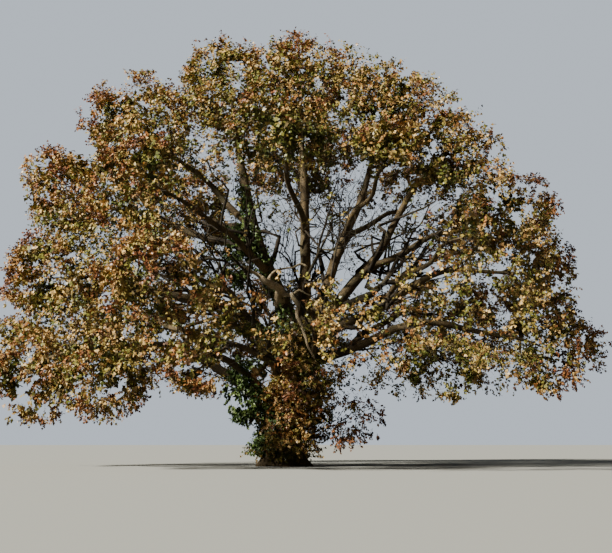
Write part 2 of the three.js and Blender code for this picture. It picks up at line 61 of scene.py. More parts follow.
# name, parent, share of the parent's length at the fork, heading and elevation it leaves at, elevation it
# arrives at, radius at the fork, heading, reach and height of its mass, half sizes of the mass
LIMBS = [
    ("left_low", "trunk", 0.34, None, 48, -34, 0.250, 185, 11.00, 4.15, (2.75, 3.50, 2.90)),
    ("left_mid", "trunk", 0.84, None, 46, 0, 0.260, 189, 10.00, 8.05, (2.85, 3.30, 2.50)),
    ("left_leader", "trunk", 0.98, 180, 64, 86, 0.350, 201, 2.60, 16.95, (2.85, 2.80, 2.75)),
    ("centre_leader", "trunk", 1, 0, 86, 82, 0.310, 324, 0.85, 17.15, (2.80, 2.80, 2.65)),
    ("right_leader", "trunk", 0.97, 0, 66, 76, 0.280, 0, 4.60, 16.05, (2.90, 2.80, 2.60)),
    ("right_stem", "trunk", 0.93, None, 46, 52, 0.290, 0, 7.20, 14.10, (2.70, 2.90, 2.30)),
    ("right_bough", "trunk", 0.88, 352, 36, -12, 0.240, 358, 10.85, 8.40, (2.50, 3.30, 2.25)),
    ("right_low", "trunk", 0.76, 345, 26, -28, 0.235, 355, 11.35, 5.05, (3.05, 3.30, 2.50)),
    ("front_left_low", "trunk", 0.4, 195, 50, -42, 0.190, 218, 8.90, 3.70, (2.50, 2.90, 2.30)),
    ("front_low", "trunk", 0.52, None, 44, -20, 0.170, 250, 7.30, 4.25, (2.40, 2.50, 1.95)),
    ("front_mid", "trunk", 0.72, 318, 28, 0, 0.150, 290, 5.20, 5.90, (2.00, 1.70, 1.25)),
    ("back_low", "trunk", 0.8, None, 46, -6, 0.260, 89, 9.50, 7.60, (3.00, 4.20, 3.20)),
    ("left_low_back", "left_low", 0.3, None, 30, -8, 0.165, 137, 10.60, 7.30, (3.00, 4.10, 3.10)),
    ("front_left", "left_mid", 0.24, None, 26, -6, 0.170, 244, 9.70, 7.00, (2.60, 3.30, 2.00)),
    ("left_high", "left_leader", 0.34, None, 24, 22, 0.170, 183, 9.85, 12.20, (2.40, 3.30, 2.40)),
    ("left_shoulder", "left_leader", 0.46, None, 42, 34, 0.160, 180, 6.70, 15.30, (3.20, 3.00, 2.75)),
    ("front_left_high", "left_leader", 0.26, None, 26, 10, 0.165, 234, 8.60, 10.90, (2.60, 3.40, 2.30)),
    ("back_left_high", "left_leader", 0.4, None, 40, 30, 0.165, 131, 8.50, 12.80, (2.90, 4.00, 2.90)),
    ("front_top", "centre_leader", 0.4, None, 30, 14, 0.150, 268, 6.50, 12.90, (2.50, 3.00, 1.95)),
    ("back_top", "centre_leader", 0.44, None, 48, 36, 0.160, 84, 6.30, 15.50, (2.80, 3.80, 2.30)),
    ("front_top_right", "right_leader", 0.42, None, 36, 14, 0.140, 308, 7.50, 12.30, (2.40, 2.70, 1.85)),
    ("back_right_high", "right_leader", 0.36, None, 44, 30, 0.165, 42, 8.60, 13.10, (2.80, 3.90, 2.70)),
    ("right_high", "right_stem", 0.42, None, 26, 20, 0.165, 0, 10.00, 11.35, (2.85, 3.00, 2.15)),
    ("front_right", "right_bough", 0.36, None, 24, 0, 0.135, 319, 9.40, 8.90, (2.30, 2.50, 1.75)),
    ("right_low_inner", "right_low", 0.42, None, -4, -42, 0.120, 334, 7.30, 4.20, (2.30, 2.50, 1.90)),
    ("back_right_low", "right_low", 0.22, None, 34, 0, 0.165, 41, 10.50, 7.50, (2.90, 4.20, 3.00)),
]
BOLE_SHOOTS = [
    ("shoots_right", "trunk", 0.12, None, 24, 20, 0.080, 338, 2.80, 2.00, (2.00, 1.60, 1.55)),
    ("shoots_front", "trunk", 0.36, None, 30, 40, 0.080, 298, 2.60, 3.60, (1.50, 1.70, 1.25)),
]
CLIMBERS = [
    ("climber_left", "trunk", 0.3, None, 30, 75, 0.080, 198, 1.75, 3.30, (1.00, 1.35, 2.00)),
    ("climber_high", "left_leader", 0.2, None, 30, 75, 0.060, 196, 2.15, 9.30, (0.85, 1.30, 1.70)),
    ("climber_back", "trunk", 0.3, None, 30, 75, 0.080, 60, 1.80, 3.20, (1.00, 1.50, 1.90)),
]
BOLE_FORK_HEIGHT = 5.4
BOLE_LEAN_RIGHT = 0.8
BOLE_TOP_ELEVATION = 72
BOLE_RADIUS = 0.8
BOLE_FORK_RADIUS = 0.56
FLARE_RADIUS = 0.3
FLARE_FADE_HEIGHT = 0.48
LIMB_END_RADIUS = 0.038
LIMB_TAPER = 0.78
# how far the two ends pull the curve between them, and the slow waves across it and up and down
LEAVING_PULL = 0.38
ARRIVING_PULL = 0.34
KINK_SHARE = 0.03
KINK_TURNS = 2.6
KINK_RISE_SHARE = 0.7
KINK_RISE_TURNS = 3.4
KINK_STEP = 1.7


def direction(heading, elevation):
    """The unit vector that points to a heading and an elevation in degrees."""
    heading = math.radians(heading)
    elevation = math.radians(elevation)
    level = math.cos(elevation)
    return np.array([level * math.cos(heading), level * math.sin(heading), math.sin(elevation)])


def unit(vectors):
    return vectors / np.maximum(np.linalg.norm(vectors, axis=-1, keepdims=True), 1e-9)


class Limb:
    """A tapering limb on a cubic curve that leaves and arrives in set directions, with slow kinks."""

    def __init__(self, name, start, end, leaving, arriving, root, tip, kink_share, seed):
        length = np.linalg.norm(end - start)
        pull = start + leaving * length * LEAVING_PULL
        push = end - arriving * length * ARRIVING_PULL
        self.name = name
        self.corners = np.array([start, pull, push, end])
        self.side = unit(np.array([-leaving[1], leaving[0], 0.0]))
        self.kink = kink_share * length
        self.phase = seed * KINK_STEP
        self.length = length
        self.root = root
        self.tip = tip
        self.seed = seed
        self.children = []

    def points(self, t):
        """Places on the limb's middle line, at shares t of its length."""
        t = np.asarray(t, dtype=float)[..., None]
        a, b, c, d = self.corners
        path = a * (1 - t) ** 3 + 3 * b * t * (1 - t) ** 2 + 3 * c * t ** 2 * (1 - t) + d * t ** 3
        kink = self.kink * np.sin(np.pi * t)
        path = path + self.side * kink * np.sin(KINK_TURNS * np.pi * t + self.phase)
        return path + UP * KINK_RISE_SHARE * kink * np.cos(KINK_RISE_TURNS * np.pi * t + self.phase)

    def radii(self, t):
        return self.tip + (self.root - self.tip) * (1 - np.asarray(t, dtype=float)) ** LIMB_TAPER


class Bole(Limb):
    """The trunk up to its fork, with a root flare that fades with height."""

    def radii(self, t):
        height = self.points(t)[..., 2]
        taper = self.root + (self.tip - self.root) * height / BOLE_FORK_HEIGHT
        return taper + FLARE_RADIUS * np.exp(-height / FLARE_FADE_HEIGHT)


bole = Bole(
    "trunk", np.zeros(3), np.array([BOLE_LEAN_RIGHT, 0, BOLE_FORK_HEIGHT]),
    direction(0, 90), direction(0, BOLE_TOP_ELEVATION), BOLE_RADIUS, BOLE_FORK_RADIUS, 0, 0,
)
limbs = {"trunk": bole}


def add_limb(name, parent, fork, leave_heading, leave, arrive, root, heading, reach, height, half_sizes):
    """A limb and its mass of leaf. Without a heading to leave at, it leaves straight towards its mass."""
    start = limbs[parent].points(fork)
    middle = direction(heading, 0) * reach + UP * height
    bearing = math.degrees(math.atan2(middle[1] - start[1], middle[0] - start[0]))
    leaving = direction(bearing if leave_heading is None else leave_heading, leave)
    limb = Limb(name, start, middle, leaving, direction(bearing, arrive), root, LIMB_END_RADIUS, KINK_SHARE,
                len(limbs))
    limb.parent = limbs[parent]
    limb.fork = fork
    limb.middle = middle
    limb.axes = np.array([direction(heading, 0), direction(heading + 90, 0), UP])
    limb.half_sizes = np.array(half_sizes)
    limb.size = np.prod(half_sizes) ** (1 / 3)
    limb.parent.children.append(limb)
    limbs[name] = limb
    return limb


boughs = [add_limb(*row) for row in LIMBS]
shoots = [add_limb(*row) for row in BOLE_SHOOTS]
climbers = [add_limb(*row) for row in CLIMBERS]
masses = boughs + shoots + climbers


# Bark
# Old sycamore bark is grey-brown and breaks into shallow plates over broad swellings, smoother on the
# upper limbs, and all of it is drawn out along the stem. The relief is in the mesh down to the larger
# plates, and the smaller ones and the pores are in the material.
BARK_STRETCH = 0.45
BARK_SWELL_SIZE = 0.34
BARK_SWELL_DEPTH = 0.028
BARK_PLATE_SIZE = 0.09
BARK_PLATE_DEPTH = 0.011
# Plates and pores are coarser than life, so that they show at a distance.
BARK_PLATE_MM = 60
BARK_PORE_MM = 14
BARK_PATCH_MM = 625
BARK_ALGAE_MM = 1111
BARK_PATCH_STOPS = (0.32, 0.66)
BARK_ALGAE_STOPS = (0.5, 0.72)
BARK_ALGAE_MOST = 0.7
BARK_SEAM_WIDTH = 0.16
BARK_SEAM_DARKNESS = 0.75
BARK_PORE_SHARE = 0.35
BARK_BUMP_STRENGTH = 0.6
BARK_BUMP_DEPTH = 0.02
BARK_ROUGHNESS = 0.88
BARK_IOR = 1.45
BARK_LIGHT = "#7E6947"
BARK_MIDDLE = "#54452F"
BARK_DARK = "#221C15"
BARK_GREEN = "#4B4A2A"
# relief is left out this near the ground, so that the cut under the trunk stays flat
GROUND_SKIN = 0.002
NOISE_VALUES = 4096
NOISE_STEPS = (73856093, 19349663, 83492791)
# the sockets of a node that mixes two colours
MIX_SHARE = 0
MIX_FIRST = 6
MIX_SECOND = 7
MIX_RESULT = 2


def linear(hex_colour):
    """sRGB hex to linear RGBA."""
    channels = [int(hex_colour[i:i + 2], 16) / 255 for i in (1, 3, 5)]
    return [c / 12.92 if c <= 0.04045 else ((c + 0.055) / 1.055) ** 2.4 for c in channels] + [1.0]


def add_node(holder, kind, settings=None, links=None):
    """A node with its settings, and links to its inputs from other nodes' outputs."""
    node = holder.node_tree.nodes.new(kind)
    for name, value in (settings or {}).items():
        if isinstance(name, int) or name in node.inputs:
            node.inputs[name].default_value = value
        else:
            setattr(node, name, value)
    for name, (source, output) in (links or {}).items():
        holder.node_tree.links.new(source.outputs[output], node.inputs[name])
    return node


def new_material(name):
    material = bpy.data.materials.new(name)
    material.use_nodes = True
    return material, material.node_tree.nodes["Principled BSDF"]


def lattice_noise(points, size, seed):
    """Smooth noise from -1 to 1 whose swellings are about size across."""
    table = np.random.default_rng(seed).uniform(-1, 1, NOISE_VALUES)
    scaled = points / size
    cell = np.floor(scaled).astype(np.int64)
    share = scaled - cell
    share = share * share * (3 - 2 * share)
    value = np.zeros(len(points))
    for corner in np.ndindex(2, 2, 2):
        mixed = np.bitwise_xor.reduce((cell + corner) * NOISE_STEPS, axis=1)
        weight = np.prod(np.where(corner, share, 1 - share), axis=1)
        value += table[mixed % NOISE_VALUES] * weight
    return value


def bark_material(name, light, middle, dark, moss):
    """Weathered bark: broken plates with darker seams, pores, and an algal tinge in broad patches."""
    material, shader = new_material(name)
    place = add_node(material, "ShaderNodeTexCoord")
    stretch = add_node(material, "ShaderNodeMapping", {"Scale": (1, 1, BARK_STRETCH)},
                       {"Vector": (place, "Object")})
    plates = add_node(material, "ShaderNodeTexVoronoi",
                      {"feature": "DISTANCE_TO_EDGE", "Scale": 1000 / BARK_PLATE_MM},
                      {"Vector": (stretch, "Vector")})
    pores = add_node(material, "ShaderNodeTexNoise",
                     {"Scale": 1000 / BARK_PORE_MM, "Detail": 4, "Roughness": 0.6},
                     {"Vector": (stretch, "Vector")})
    patches = add_node(material, "ShaderNodeTexNoise", {"Scale": 1000 / BARK_PATCH_MM, "Detail": 3},
                       {"Vector": (place, "Object")})
    tone = add_node(material, "ShaderNodeValToRGB", links={"Fac": (patches, "Fac")})
    for stop, position, colour in zip(tone.color_ramp.elements, BARK_PATCH_STOPS, (middle, light)):
        stop.position = position
        stop.color = linear(colour)
    algae = add_node(material, "ShaderNodeTexNoise", {"Scale": 1000 / BARK_ALGAE_MM, "Detail": 5},
                     {"Vector": (place, "Object")})
    algae_share = add_node(material, "ShaderNodeMapRange",
                           {"From Min": BARK_ALGAE_STOPS[0], "From Max": BARK_ALGAE_STOPS[1],
                            "To Max": BARK_ALGAE_MOST},
                           {"Value": (algae, "Fac")})
    green = add_node(material, "ShaderNodeMix", {"data_type": "RGBA", MIX_SECOND: linear(moss)},
                     {MIX_SHARE: (algae_share, "Result"), MIX_FIRST: (tone, "Color")})
    seam = add_node(material, "ShaderNodeMapRange",
                    {"From Max": BARK_SEAM_WIDTH, "To Min": BARK_SEAM_DARKNESS, "To Max": 0},
                    {"Value": (plates, "Distance")})
    seamed = add_node(material, "ShaderNodeMix", {"data_type": "RGBA", MIX_SECOND: linear(dark)},
                      {MIX_SHARE: (seam, "Result"), MIX_FIRST: (green, MIX_RESULT)})
    height = add_node(material, "ShaderNodeMath", {"operation": "MULTIPLY_ADD", 1: BARK_PORE_SHARE},
                      {0: (pores, "Fac"), 2: (plates, "Distance")})
    bump = add_node(material, "ShaderNodeBump",
                    {"Strength": BARK_BUMP_STRENGTH, "Distance": BARK_BUMP_DEPTH}, {"Height": (height, 0)})
    material.node_tree.links.new(seamed.outputs[MIX_RESULT], shader.inputs["Base Color"])
    material.node_tree.links.new(bump.outputs["Normal"], shader.inputs["Normal"])
    shader.inputs["Roughness"].default_value = BARK_ROUGHNESS
    shader.inputs["IOR"].default_value = BARK_IOR
    return material


bark = bark_material("weathered_bark", BARK_LIGHT, BARK_MIDDLE, BARK_DARK, BARK_GREEN)


def raise_bark(piece, thinness):
    """Moves a bark mesh's points in and out by its swellings and plates."""
    mesh = piece.data
    points = np.empty(len(mesh.vertices) * 3, dtype=np.float32)
    normals = np.empty_like(points)
    mesh.vertices.foreach_get("co", points)
    mesh.vertex_normals.foreach_get("vector", normals)
    points = points.reshape(-1, 3).astype(float)
    normals = normals.reshape(-1, 3).astype(float)
    stretched = points * [1, 1, BARK_STRETCH]
    swell = lattice_noise(stretched, BARK_SWELL_SIZE, seed=5) * BARK_SWELL_DEPTH
    plate = lattice_noise(stretched, BARK_PLATE_SIZE, seed=6) * BARK_PLATE_DEPTH
    moved = points + normals * ((swell + plate) * thinness)[:, None]
    low = points[:, 2] < GROUND_SKIN
    moved[low] = points[low]
    moved[:, 2] = np.maximum(moved[:, 2], 0)
    mesh.vertices.foreach_set("co", moved.astype(np.float32).ravel())
    mesh.update()


# Trunk
# The bole is short and heavy, with five buttresses at its foot, and the bases of its limbs swell out of
# it. It is one body of wood, so bole and limb bases are grown together before the bark's relief is
# raised.
TRUNK_SIDES = 64
TRUNK_RINGS = 60
RINGS_TO_FOOT = 1.3
BUTTRESSES = 5
BUTTRESS_SHARE = 0.3
BUTTRESS_TURN = 1
BASE_LENGTH = 2.6
BASE_RINGS = 26
BASE_SIDES = 24
# a collar's swell, and how many times the limb's radius it takes to fade
COLLAR_SWELL = 0.45
COLLAR_FADE = 2.2
TRUNK_VOXEL = 0.055
FORK_EASE = 0.5
FORK_EASE_ROUNDS = 7
# a tube nearer upright than this starts its rings from +X, and any other from +Z
UPRIGHT = 0.8


def tubes(centres, radii, sides, profile=None):
    """Round tubes through rings: centres (tube, ring, 3) and radii (tube, ring) to vertices and quads."""
    count, rings = radii.shape
    along = unit(np.gradient(centres, axis=1))
    mean = unit(along.mean(axis=1))
    upright = np.abs(mean[:, 2:]) > UPRIGHT
    hint = np.where(upright, [[1.0, 0.0, 0.0]], [[0.0, 0.0, 1.0]])[:, None, :]
    across = unit(hint - along * np.sum(along * hint, axis=-1, keepdims=True))
    normal = np.cross(along, across)
    angle = np.arange(sides) * 2 * np.pi / sides
    swell = np.ones((count, rings, sides)) if profile is None else profile(centres, angle)
    around = across[:, :, None, :] * np.cos(angle)[:, None] + normal[:, :, None, :] * np.sin(angle)[:, None]
    vertices = centres[:, :, None, :] + around * (radii[:, :, None] * swell)[..., None]
    index = np.arange(count * rings * sides).reshape(count, rings, sides)
    here = index[:, :-1]
    there = index[:, 1:]
    quads = np.stack([here, np.roll(here, -1, axis=2), np.roll(there, -1, axis=2), there], axis=-1)
    return vertices.reshape(-1, 3), quads.reshape(-1, 4)


def mesh_from(name, vertices, faces, smooth=True):
    """A mesh object from arrays. All the faces have the same number of corners."""
    mesh = bpy.data.meshes.new(name)
    corners = faces.shape[1]
    mesh.vertices.add(len(vertices))
    mesh.vertices.foreach_set("co", vertices.astype(np.float32).ravel())
    mesh.loops.add(faces.size)
    mesh.loops.foreach_set("vertex_index", faces.astype(np.int32).ravel())
    mesh.polygons.add(len(faces))
    mesh.polygons.foreach_set("loop_start", np.arange(0, faces.size, corners, dtype=np.int32))
    mesh.update(calc_edges=True)
    mesh.polygons.foreach_set("use_smooth", np.full(len(faces), smooth))
    piece = bpy.data.objects.new(name, mesh)
    bpy.context.collection.objects.link(piece)
    return piece


def buttressed(centres, angle):
    """How much wider the bole is at each angle of a ring, by its buttresses."""
    fade = np.exp(-centres[..., 2:] / FLARE_FADE_HEIGHT)
    return 1 + BUTTRESS_SHARE * fade * np.cos(BUTTRESSES * angle + BUTTRESS_TURN)


def collar_radii(limb, t):
    """A limb's radii, swollen where it leaves its parent."""
    run = np.asarray(t) * limb.length
    return limb.radii(t) * (1 + COLLAR_SWELL * np.exp(-run / (COLLAR_FADE * limb.root)))


def closed_tube(centres, radii, sides, profile=None):
    """One tube with a fan over each end, in triangles."""
    vertices, quads = tubes(centres[None], radii[None], sides, profile)
    triangles = [quads[:, [0, 1, 2]], quads[:, [0, 2, 3]]]
    ring = np.arange(sides)
    first = len(vertices)
    last_ring = first - sides + ring
    triangles.append(np.stack([np.full(sides, first), np.roll(ring, -1), ring], axis=1))
    triangles.append(np.stack([np.full(sides, first + 1), last_ring, np.roll(last_ring, -1)], axis=1))
    vertices = np.vstack([vertices, centres[0], centres[-1]])
    return vertices, np.vstack(triangles)


def join_parts(parts):
    """Vertices and faces of several parts as one pair of arrays."""
    vertices, faces, first = [], [], 0
    for part_vertices, part_faces in parts:
        vertices.append(part_vertices)
        faces.append(part_faces + first)
        first += len(part_vertices)
    return np.vstack(vertices), np.vstack(faces)


parts = []
t = np.linspace(0, 1, TRUNK_RINGS) ** RINGS_TO_FOOT
parts.append(closed_tube(bole.points(t), bole.radii(t), TRUNK_SIDES, buttressed))
for limb in bole.children:
    if limb in boughs:
        t = np.linspace(0, BASE_LENGTH / limb.length, BASE_RINGS)
        parts.append(closed_tube(limb.points(t), collar_radii(limb, t), BASE_SIDES))
trunk = mesh_from("trunk_bark", *join_parts(parts))
grown = trunk.modifiers.new("grown_together", "REMESH")
grown.mode = "VOXEL"
grown.voxel_size = TRUNK_VOXEL
eased = trunk.modifiers.new("eased_forks", "SMOOTH")
eased.factor = FORK_EASE
eased.iterations = FORK_EASE_ROUNDS
whole = bpy.data.meshes.new_from_object(trunk.evaluated_get(bpy.context.evaluated_depsgraph_get()))
trunk.modifiers.clear()
trunk.data = whole
whole.name = "trunk_bark"
whole.polygons.foreach_set("use_smooth", np.full(len(whole.polygons), True))
# The foot is cut flat at the ground.
points = np.empty(len(whole.vertices) * 3, dtype=np.float32)
whole.vertices.foreach_get("co", points)
points = points.reshape(-1, 3)
points[points[:, 2] < TRUNK_VOXEL, 2] = 0
whole.vertices.foreach_set("co", points.ravel())
whole.update()
raise_bark(trunk, 1)
trunk.data.materials.append(bark)
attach(trunk, "root")
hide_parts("trunk")


# Boughs
# Each bough is one tapering limb that carries its bark out to the middle of its mass of leaf. Where one
# leaves another it swells into a collar, and the thinner it is, the smoother its bark.
BOUGH_RING_SPACING = 0.19
STOUT_RADIUS = 0.2
STOUT_SIDES = 20
SLIM_SIDES = 14
RELIEF_BY_RADIUS = 2.4

for limb in boughs:
    t = np.linspace(0, 1, int(limb.length / BOUGH_RING_SPACING))
    sides = STOUT_SIDES if limb.root > STOUT_RADIUS else SLIM_SIDES
    centres = limb.points(t)[None]
    vertices, quads = tubes(centres, collar_radii(limb, t)[None], sides)
    bough = mesh_from("bough_" + limb.name + "_bark", vertices, quads)
    raise_bark(bough, min(1, limb.root * RELIEF_BY_RADIUS))
    bough.data.materials.append(bark)
    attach(bough, "root")
    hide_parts("bough_" + limb.name)


# Dead limb
# Over the fork a limb has died and broken. Its bark has dropped, and the wood is bleached and cracked
# along the grain. Its colours are also painted lighter than the bleached wood, as painted light. Its stout
# broken arm points up to the left, pale crooked twigs lie over it, and one end hangs in front.
# Painted light: these colours are paler than the bleached wood's own, to stand in for sunlight that the
# crown keeps off the limb.
DEAD_LIGHT = "#DCC8A2"
DEAD_MIDDLE = "#B39B78"
DEAD_DARK = "#6B5A47"
DEAD_GREEN = "#8D8260"
# parent, fork, heading and elevation it leaves at, heading and elevation it arrives at, radius at the
# fork and at the tip, heading, reach and height of its tip
DEAD_LIMBS = [
    ("dead_arm", "left_leader", 0.15, 262, 24, 205, 18, 0.200, 0.125, 244.5, 2.44, 8.0),
    ("dead_hanging_end", "dead_arm", 0.3, 300, 2, 300, -58, 0.110, 0.035, 295.0, 2.87, 4.6),
]
DEAD_TWIGS = [
    ("dead_twig_long", "dead_arm", 0.72, 170, 70, 350, -16, 0.065, 0.035, 298.0, 2.25, 8.45),
    ("dead_twig_left", "dead_arm", 0.9, 190, 30, 175, -12, 0.080, 0.030, 229.0, 3.55, 8.25),
    ("dead_twig_front", "dead_hanging_end", 0.2, 330, 20, 320, -50, 0.045, 0.018, 302.0, 3.40, 6.3),
]
DEAD_RING_SPACING = 0.06
DEAD_SIDES = 14
DEAD_CROOK = 0.15
DEAD_CROOK_SIZE = 0.42
DEAD_CROOK_SEEDS = (51, 52, 53)
DEAD_MOST_RELIEF = 0.8
DEAD_RELIEF_BY_RADIUS = 8

dead_wood = bark_material("bleached_dead_wood_and_painted_light", DEAD_LIGHT, DEAD_MIDDLE, DEAD_DARK, DEAD_GREEN)


def dead_limb(name, parent, fork, leave_heading, leave, arrive_heading, arrive, root, tip, heading, reach,
              height):
    """A limb of the dead wood, that bears no leaf."""
    start = limbs[parent].points(fork)
    end = direction(heading, 0) * reach + UP * height
    leaving = direction(leave_heading, leave)
    arriving = direction(arrive_heading, arrive)
    limb = Limb(name, start, end, leaving, arriving, root, tip, KINK_SHARE, len(limbs))
    limbs[name] = limb
    return limb


for row in DEAD_LIMBS + DEAD_TWIGS:
    limb = dead_limb(*row)
    t = np.linspace(0, 1, int(limb.length / DEAD_RING_SPACING))
    centres = limb.points(t)
    crook = np.stack([lattice_noise(centres, DEAD_CROOK_SIZE, seed) for seed in DEAD_CROOK_SEEDS], axis=1)
    crooked = closed_tube(centres + crook * DEAD_CROOK, collar_radii(limb, t), DEAD_SIDES)
    piece = mesh_from(limb.name + "_wood", *crooked)
    raise_bark(piece, min(DEAD_MOST_RELIEF, limb.root * DEAD_RELIEF_BY_RADIUS))
    piece.data.materials.append(dead_wood)
    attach(piece, "root")
    if row in DEAD_LIMBS:
        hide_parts(limb.name)


# Side branches
# The boughs throw off side branches that run up and out between the masses and fork again, so that the
# open middle of the crown is a lattice of wood, its bark coloured dark as painted shade. Each grows to a
# site in the dome from the nearest place on the wood, where a long way round costs more, and a sharp turn
# too.
GOLDEN_ANGLE = math.pi * (3 - math.sqrt(5))
PATH_COST = 0.3
FALL_COST = 1.5
DOME_MIDDLE = np.array([0.6, 0.0, 4.6])
DOME_HALF = np.array([12.4, 10.8, 14.2])
# the share of the dome's whole height, from its top, that holds sites
DOME_SPAN = 1.25 / 2
MASS_CORE = 0.85
# Side branches leave between these shares of a bough's length, and from the top of the bole, where each
# is at most half as thick as the bole.
SIDE_FROM = 0.16
SIDE_TO = 0.94
SIDE_PLACES = 26
FORK_FROM = 0.9
FORK_PLACES = 4
FORK_SHARE = 0.5
SIDE_LEAST_HEIGHT = 3.6
LONG_LEAST_HEIGHT = 9.0
# Branches longer than LONG_LENGTH run on into the masses, and ones shorter than BARE_LENGTH bear leaves,
# in clumps deep in the dome.
LONG_LENGTH = 10
BARE_LENGTH = 4.0
OPEN_CROWN_REACH = 0.72
CLUMP_SIZE = 2.0
CLUMP_LEVEL = 0.05
CLUMP_SEED = 31
# The crown is hollow over the fork, towards the viewer, and gaps of sky run on through its back.
# middle, half sizes and the share of leaf left in each hollow
HOLLOWS = [
    (np.array([-2.2, -5.5, 10.8]), np.array([2.6, 6.5, 2.8]), 0.35),
    (np.array([1.2, -5.5, 9.3]), np.array([5.6, 6.5, 3.0]), 0.1),
]
OPEN_BACK_MIDDLE = np.array([3.4, 6.0, 11.6])
OPEN_BACK_HALF = np.array([6.2, 10.0, 3.0])
OPEN_BACK_SIZE = 1.8
OPEN_BACK_FLATNESS = 0.2
OPEN_BACK_LEVEL = 0.08
OPEN_BACK_SHARE = 0.12
HOLLOW_TWIGS = 0.3
# sites, nearest and furthest share of the dome, longest, radius at the fork, cost of the way and of a
# turn, rings, sides
SIDE_ROUNDS = [
    (560, 0.60, 0.86, 12.0, 0.190, 1.2, 4.0, 14, 6),
    (340, 0.50, 0.80, 10.5, 0.120, 1.7, 3.0, 12, 5),
    (1300, 0.35, 0.88, 4.5, 0.085, 0.5, 2.0, 7, 4),
    (2200, 0.20, 0.90, 2.0, 0.022, 0.3, 0.9, 5, 3),
    (1560, 0.84, 0.99, 3.0, 0.024, 0.3, 0.9, 5, 3),
]
PARENT_SHARE = 0.8
THINNEST_SHARE = 0.4
BRANCH_TIP_SHARE = 0.18
BRANCH_PULL = 0.45
BRANCH_KINK = 0.12
BRANCH_KINK_POWER = 0.75
# Painted shade: the side branches' bark is coloured darker than the bark's own, for the crown's shade over
# them.
SHADE_DARKENED_BARK_LIGHT = "#4A3D2B"
SHADE_DARKENED_BARK_DARK = "#282119"


def curved(start, leaving, end, rings, random):
    """Points of a branch that leaves along its parent, bends to its end, and is a little crooked."""
    share = np.linspace(0, 1, rings)[:, None]
    length = np.linalg.norm(end - start)
    pull = start + leaving * length * BRANCH_PULL
    path = start * (1 - share) ** 2 + 2 * pull * share * (1 - share) + end * share ** 2
    sway = random.normal(size=(2, 3)) * length ** BRANCH_KINK_POWER * BRANCH_KINK
    kink = sway[0] * np.sin(2 * np.pi * share) + sway[1] * np.cos(5 * np.pi * share)
    return path + np.sin(np.pi * share) * kink


def spread(count, span, near, far, random):
    """Points spread evenly round a ball: from its top down span of its height, and near to far out."""
    i = np.arange(count)
    rise = 1 - 2 * span * (i + 0.5) / count
    turn = random.uniform(0, 2 * np.pi) + i * GOLDEN_ANGLE
    share = near + (far - near) * np.sqrt(random.uniform(0, 1, count))
    level = np.sqrt(1 - rise ** 2)
    ball = np.stack([level * np.cos(turn), level * np.sin(turn), rise], axis=1)
    return ball * share[:, None]


class Places:
    """The places on the wood that a further branch may leave from."""

    def __init__(self):
        self.rows = np.empty((0, 8))

    def add(self, points, path, radii):
        """Adds places along a branch whose first point lies path along the wood from the bole."""
        along = unit(np.gradient(points, axis=0))
        steps = np.linalg.norm(np.diff(points, axis=0), axis=1)
        run = path + np.concatenate([[0], np.cumsum(steps)])
        self.rows = np.vstack([self.rows, np.column_stack([points, run, radii, along])])

    def nearest(self, site, path_cost=PATH_COST, turn_cost=0):
        """The best place to reach a site from: point, way from the bole, radius and direction."""
        way = site - self.rows[:, :3]
        far = np.linalg.norm(way, axis=1)
        turn = 1 - np.sum(way * self.rows[:, 5:], axis=1) / np.maximum(far, 1e-9)
        fall = np.maximum(0, -way[:, 2]) / np.maximum(far, 1e-9)
        cost = far * (1 + turn_cost * (turn + FALL_COST * fall)) + path_cost * self.rows[:, 3]
        row = self.rows[np.argmin(cost)]
        return row[:3], row[3], row[4], row[5:]


def path_to(limb, t):
    """The way along the wood from the bole to a place on a limb."""
    own = t * limb.length
    return own if limb.parent is bole else own + path_to(limb.parent, limb.fork)


def depth_in(mass, points):
    """How far out points lie in a mass, from 0 at its middle to 1 at its edge."""
    return np.linalg.norm(((points - mass.middle) @ mass.axes.T) / mass.half_sizes, axis=-1)


def outside_masses(points):
    """Whether points lie outside the cores of all masses."""
    inside = np.zeros(len(points), dtype=bool)
    for mass in masses:
        inside |= depth_in(mass, points) < MASS_CORE
    return ~inside


def leaf_share(points):
    """The share of leaf at points: all of it but in the hollow over the fork and the gaps behind it."""
    share = np.ones(len(points))
    for middle, half_sizes, left in HOLLOWS:
        share[np.linalg.norm((points - middle) / half_sizes, axis=1) < 1] = left
    behind = np.linalg.norm((points - OPEN_BACK_MIDDLE) / OPEN_BACK_HALF, axis=1) < 1
    gap = lattice_noise(points * [1, OPEN_BACK_FLATNESS, 1], OPEN_BACK_SIZE, seed=15) > OPEN_BACK_LEVEL
    share[behind & gap] = OPEN_BACK_SHARE
    return share
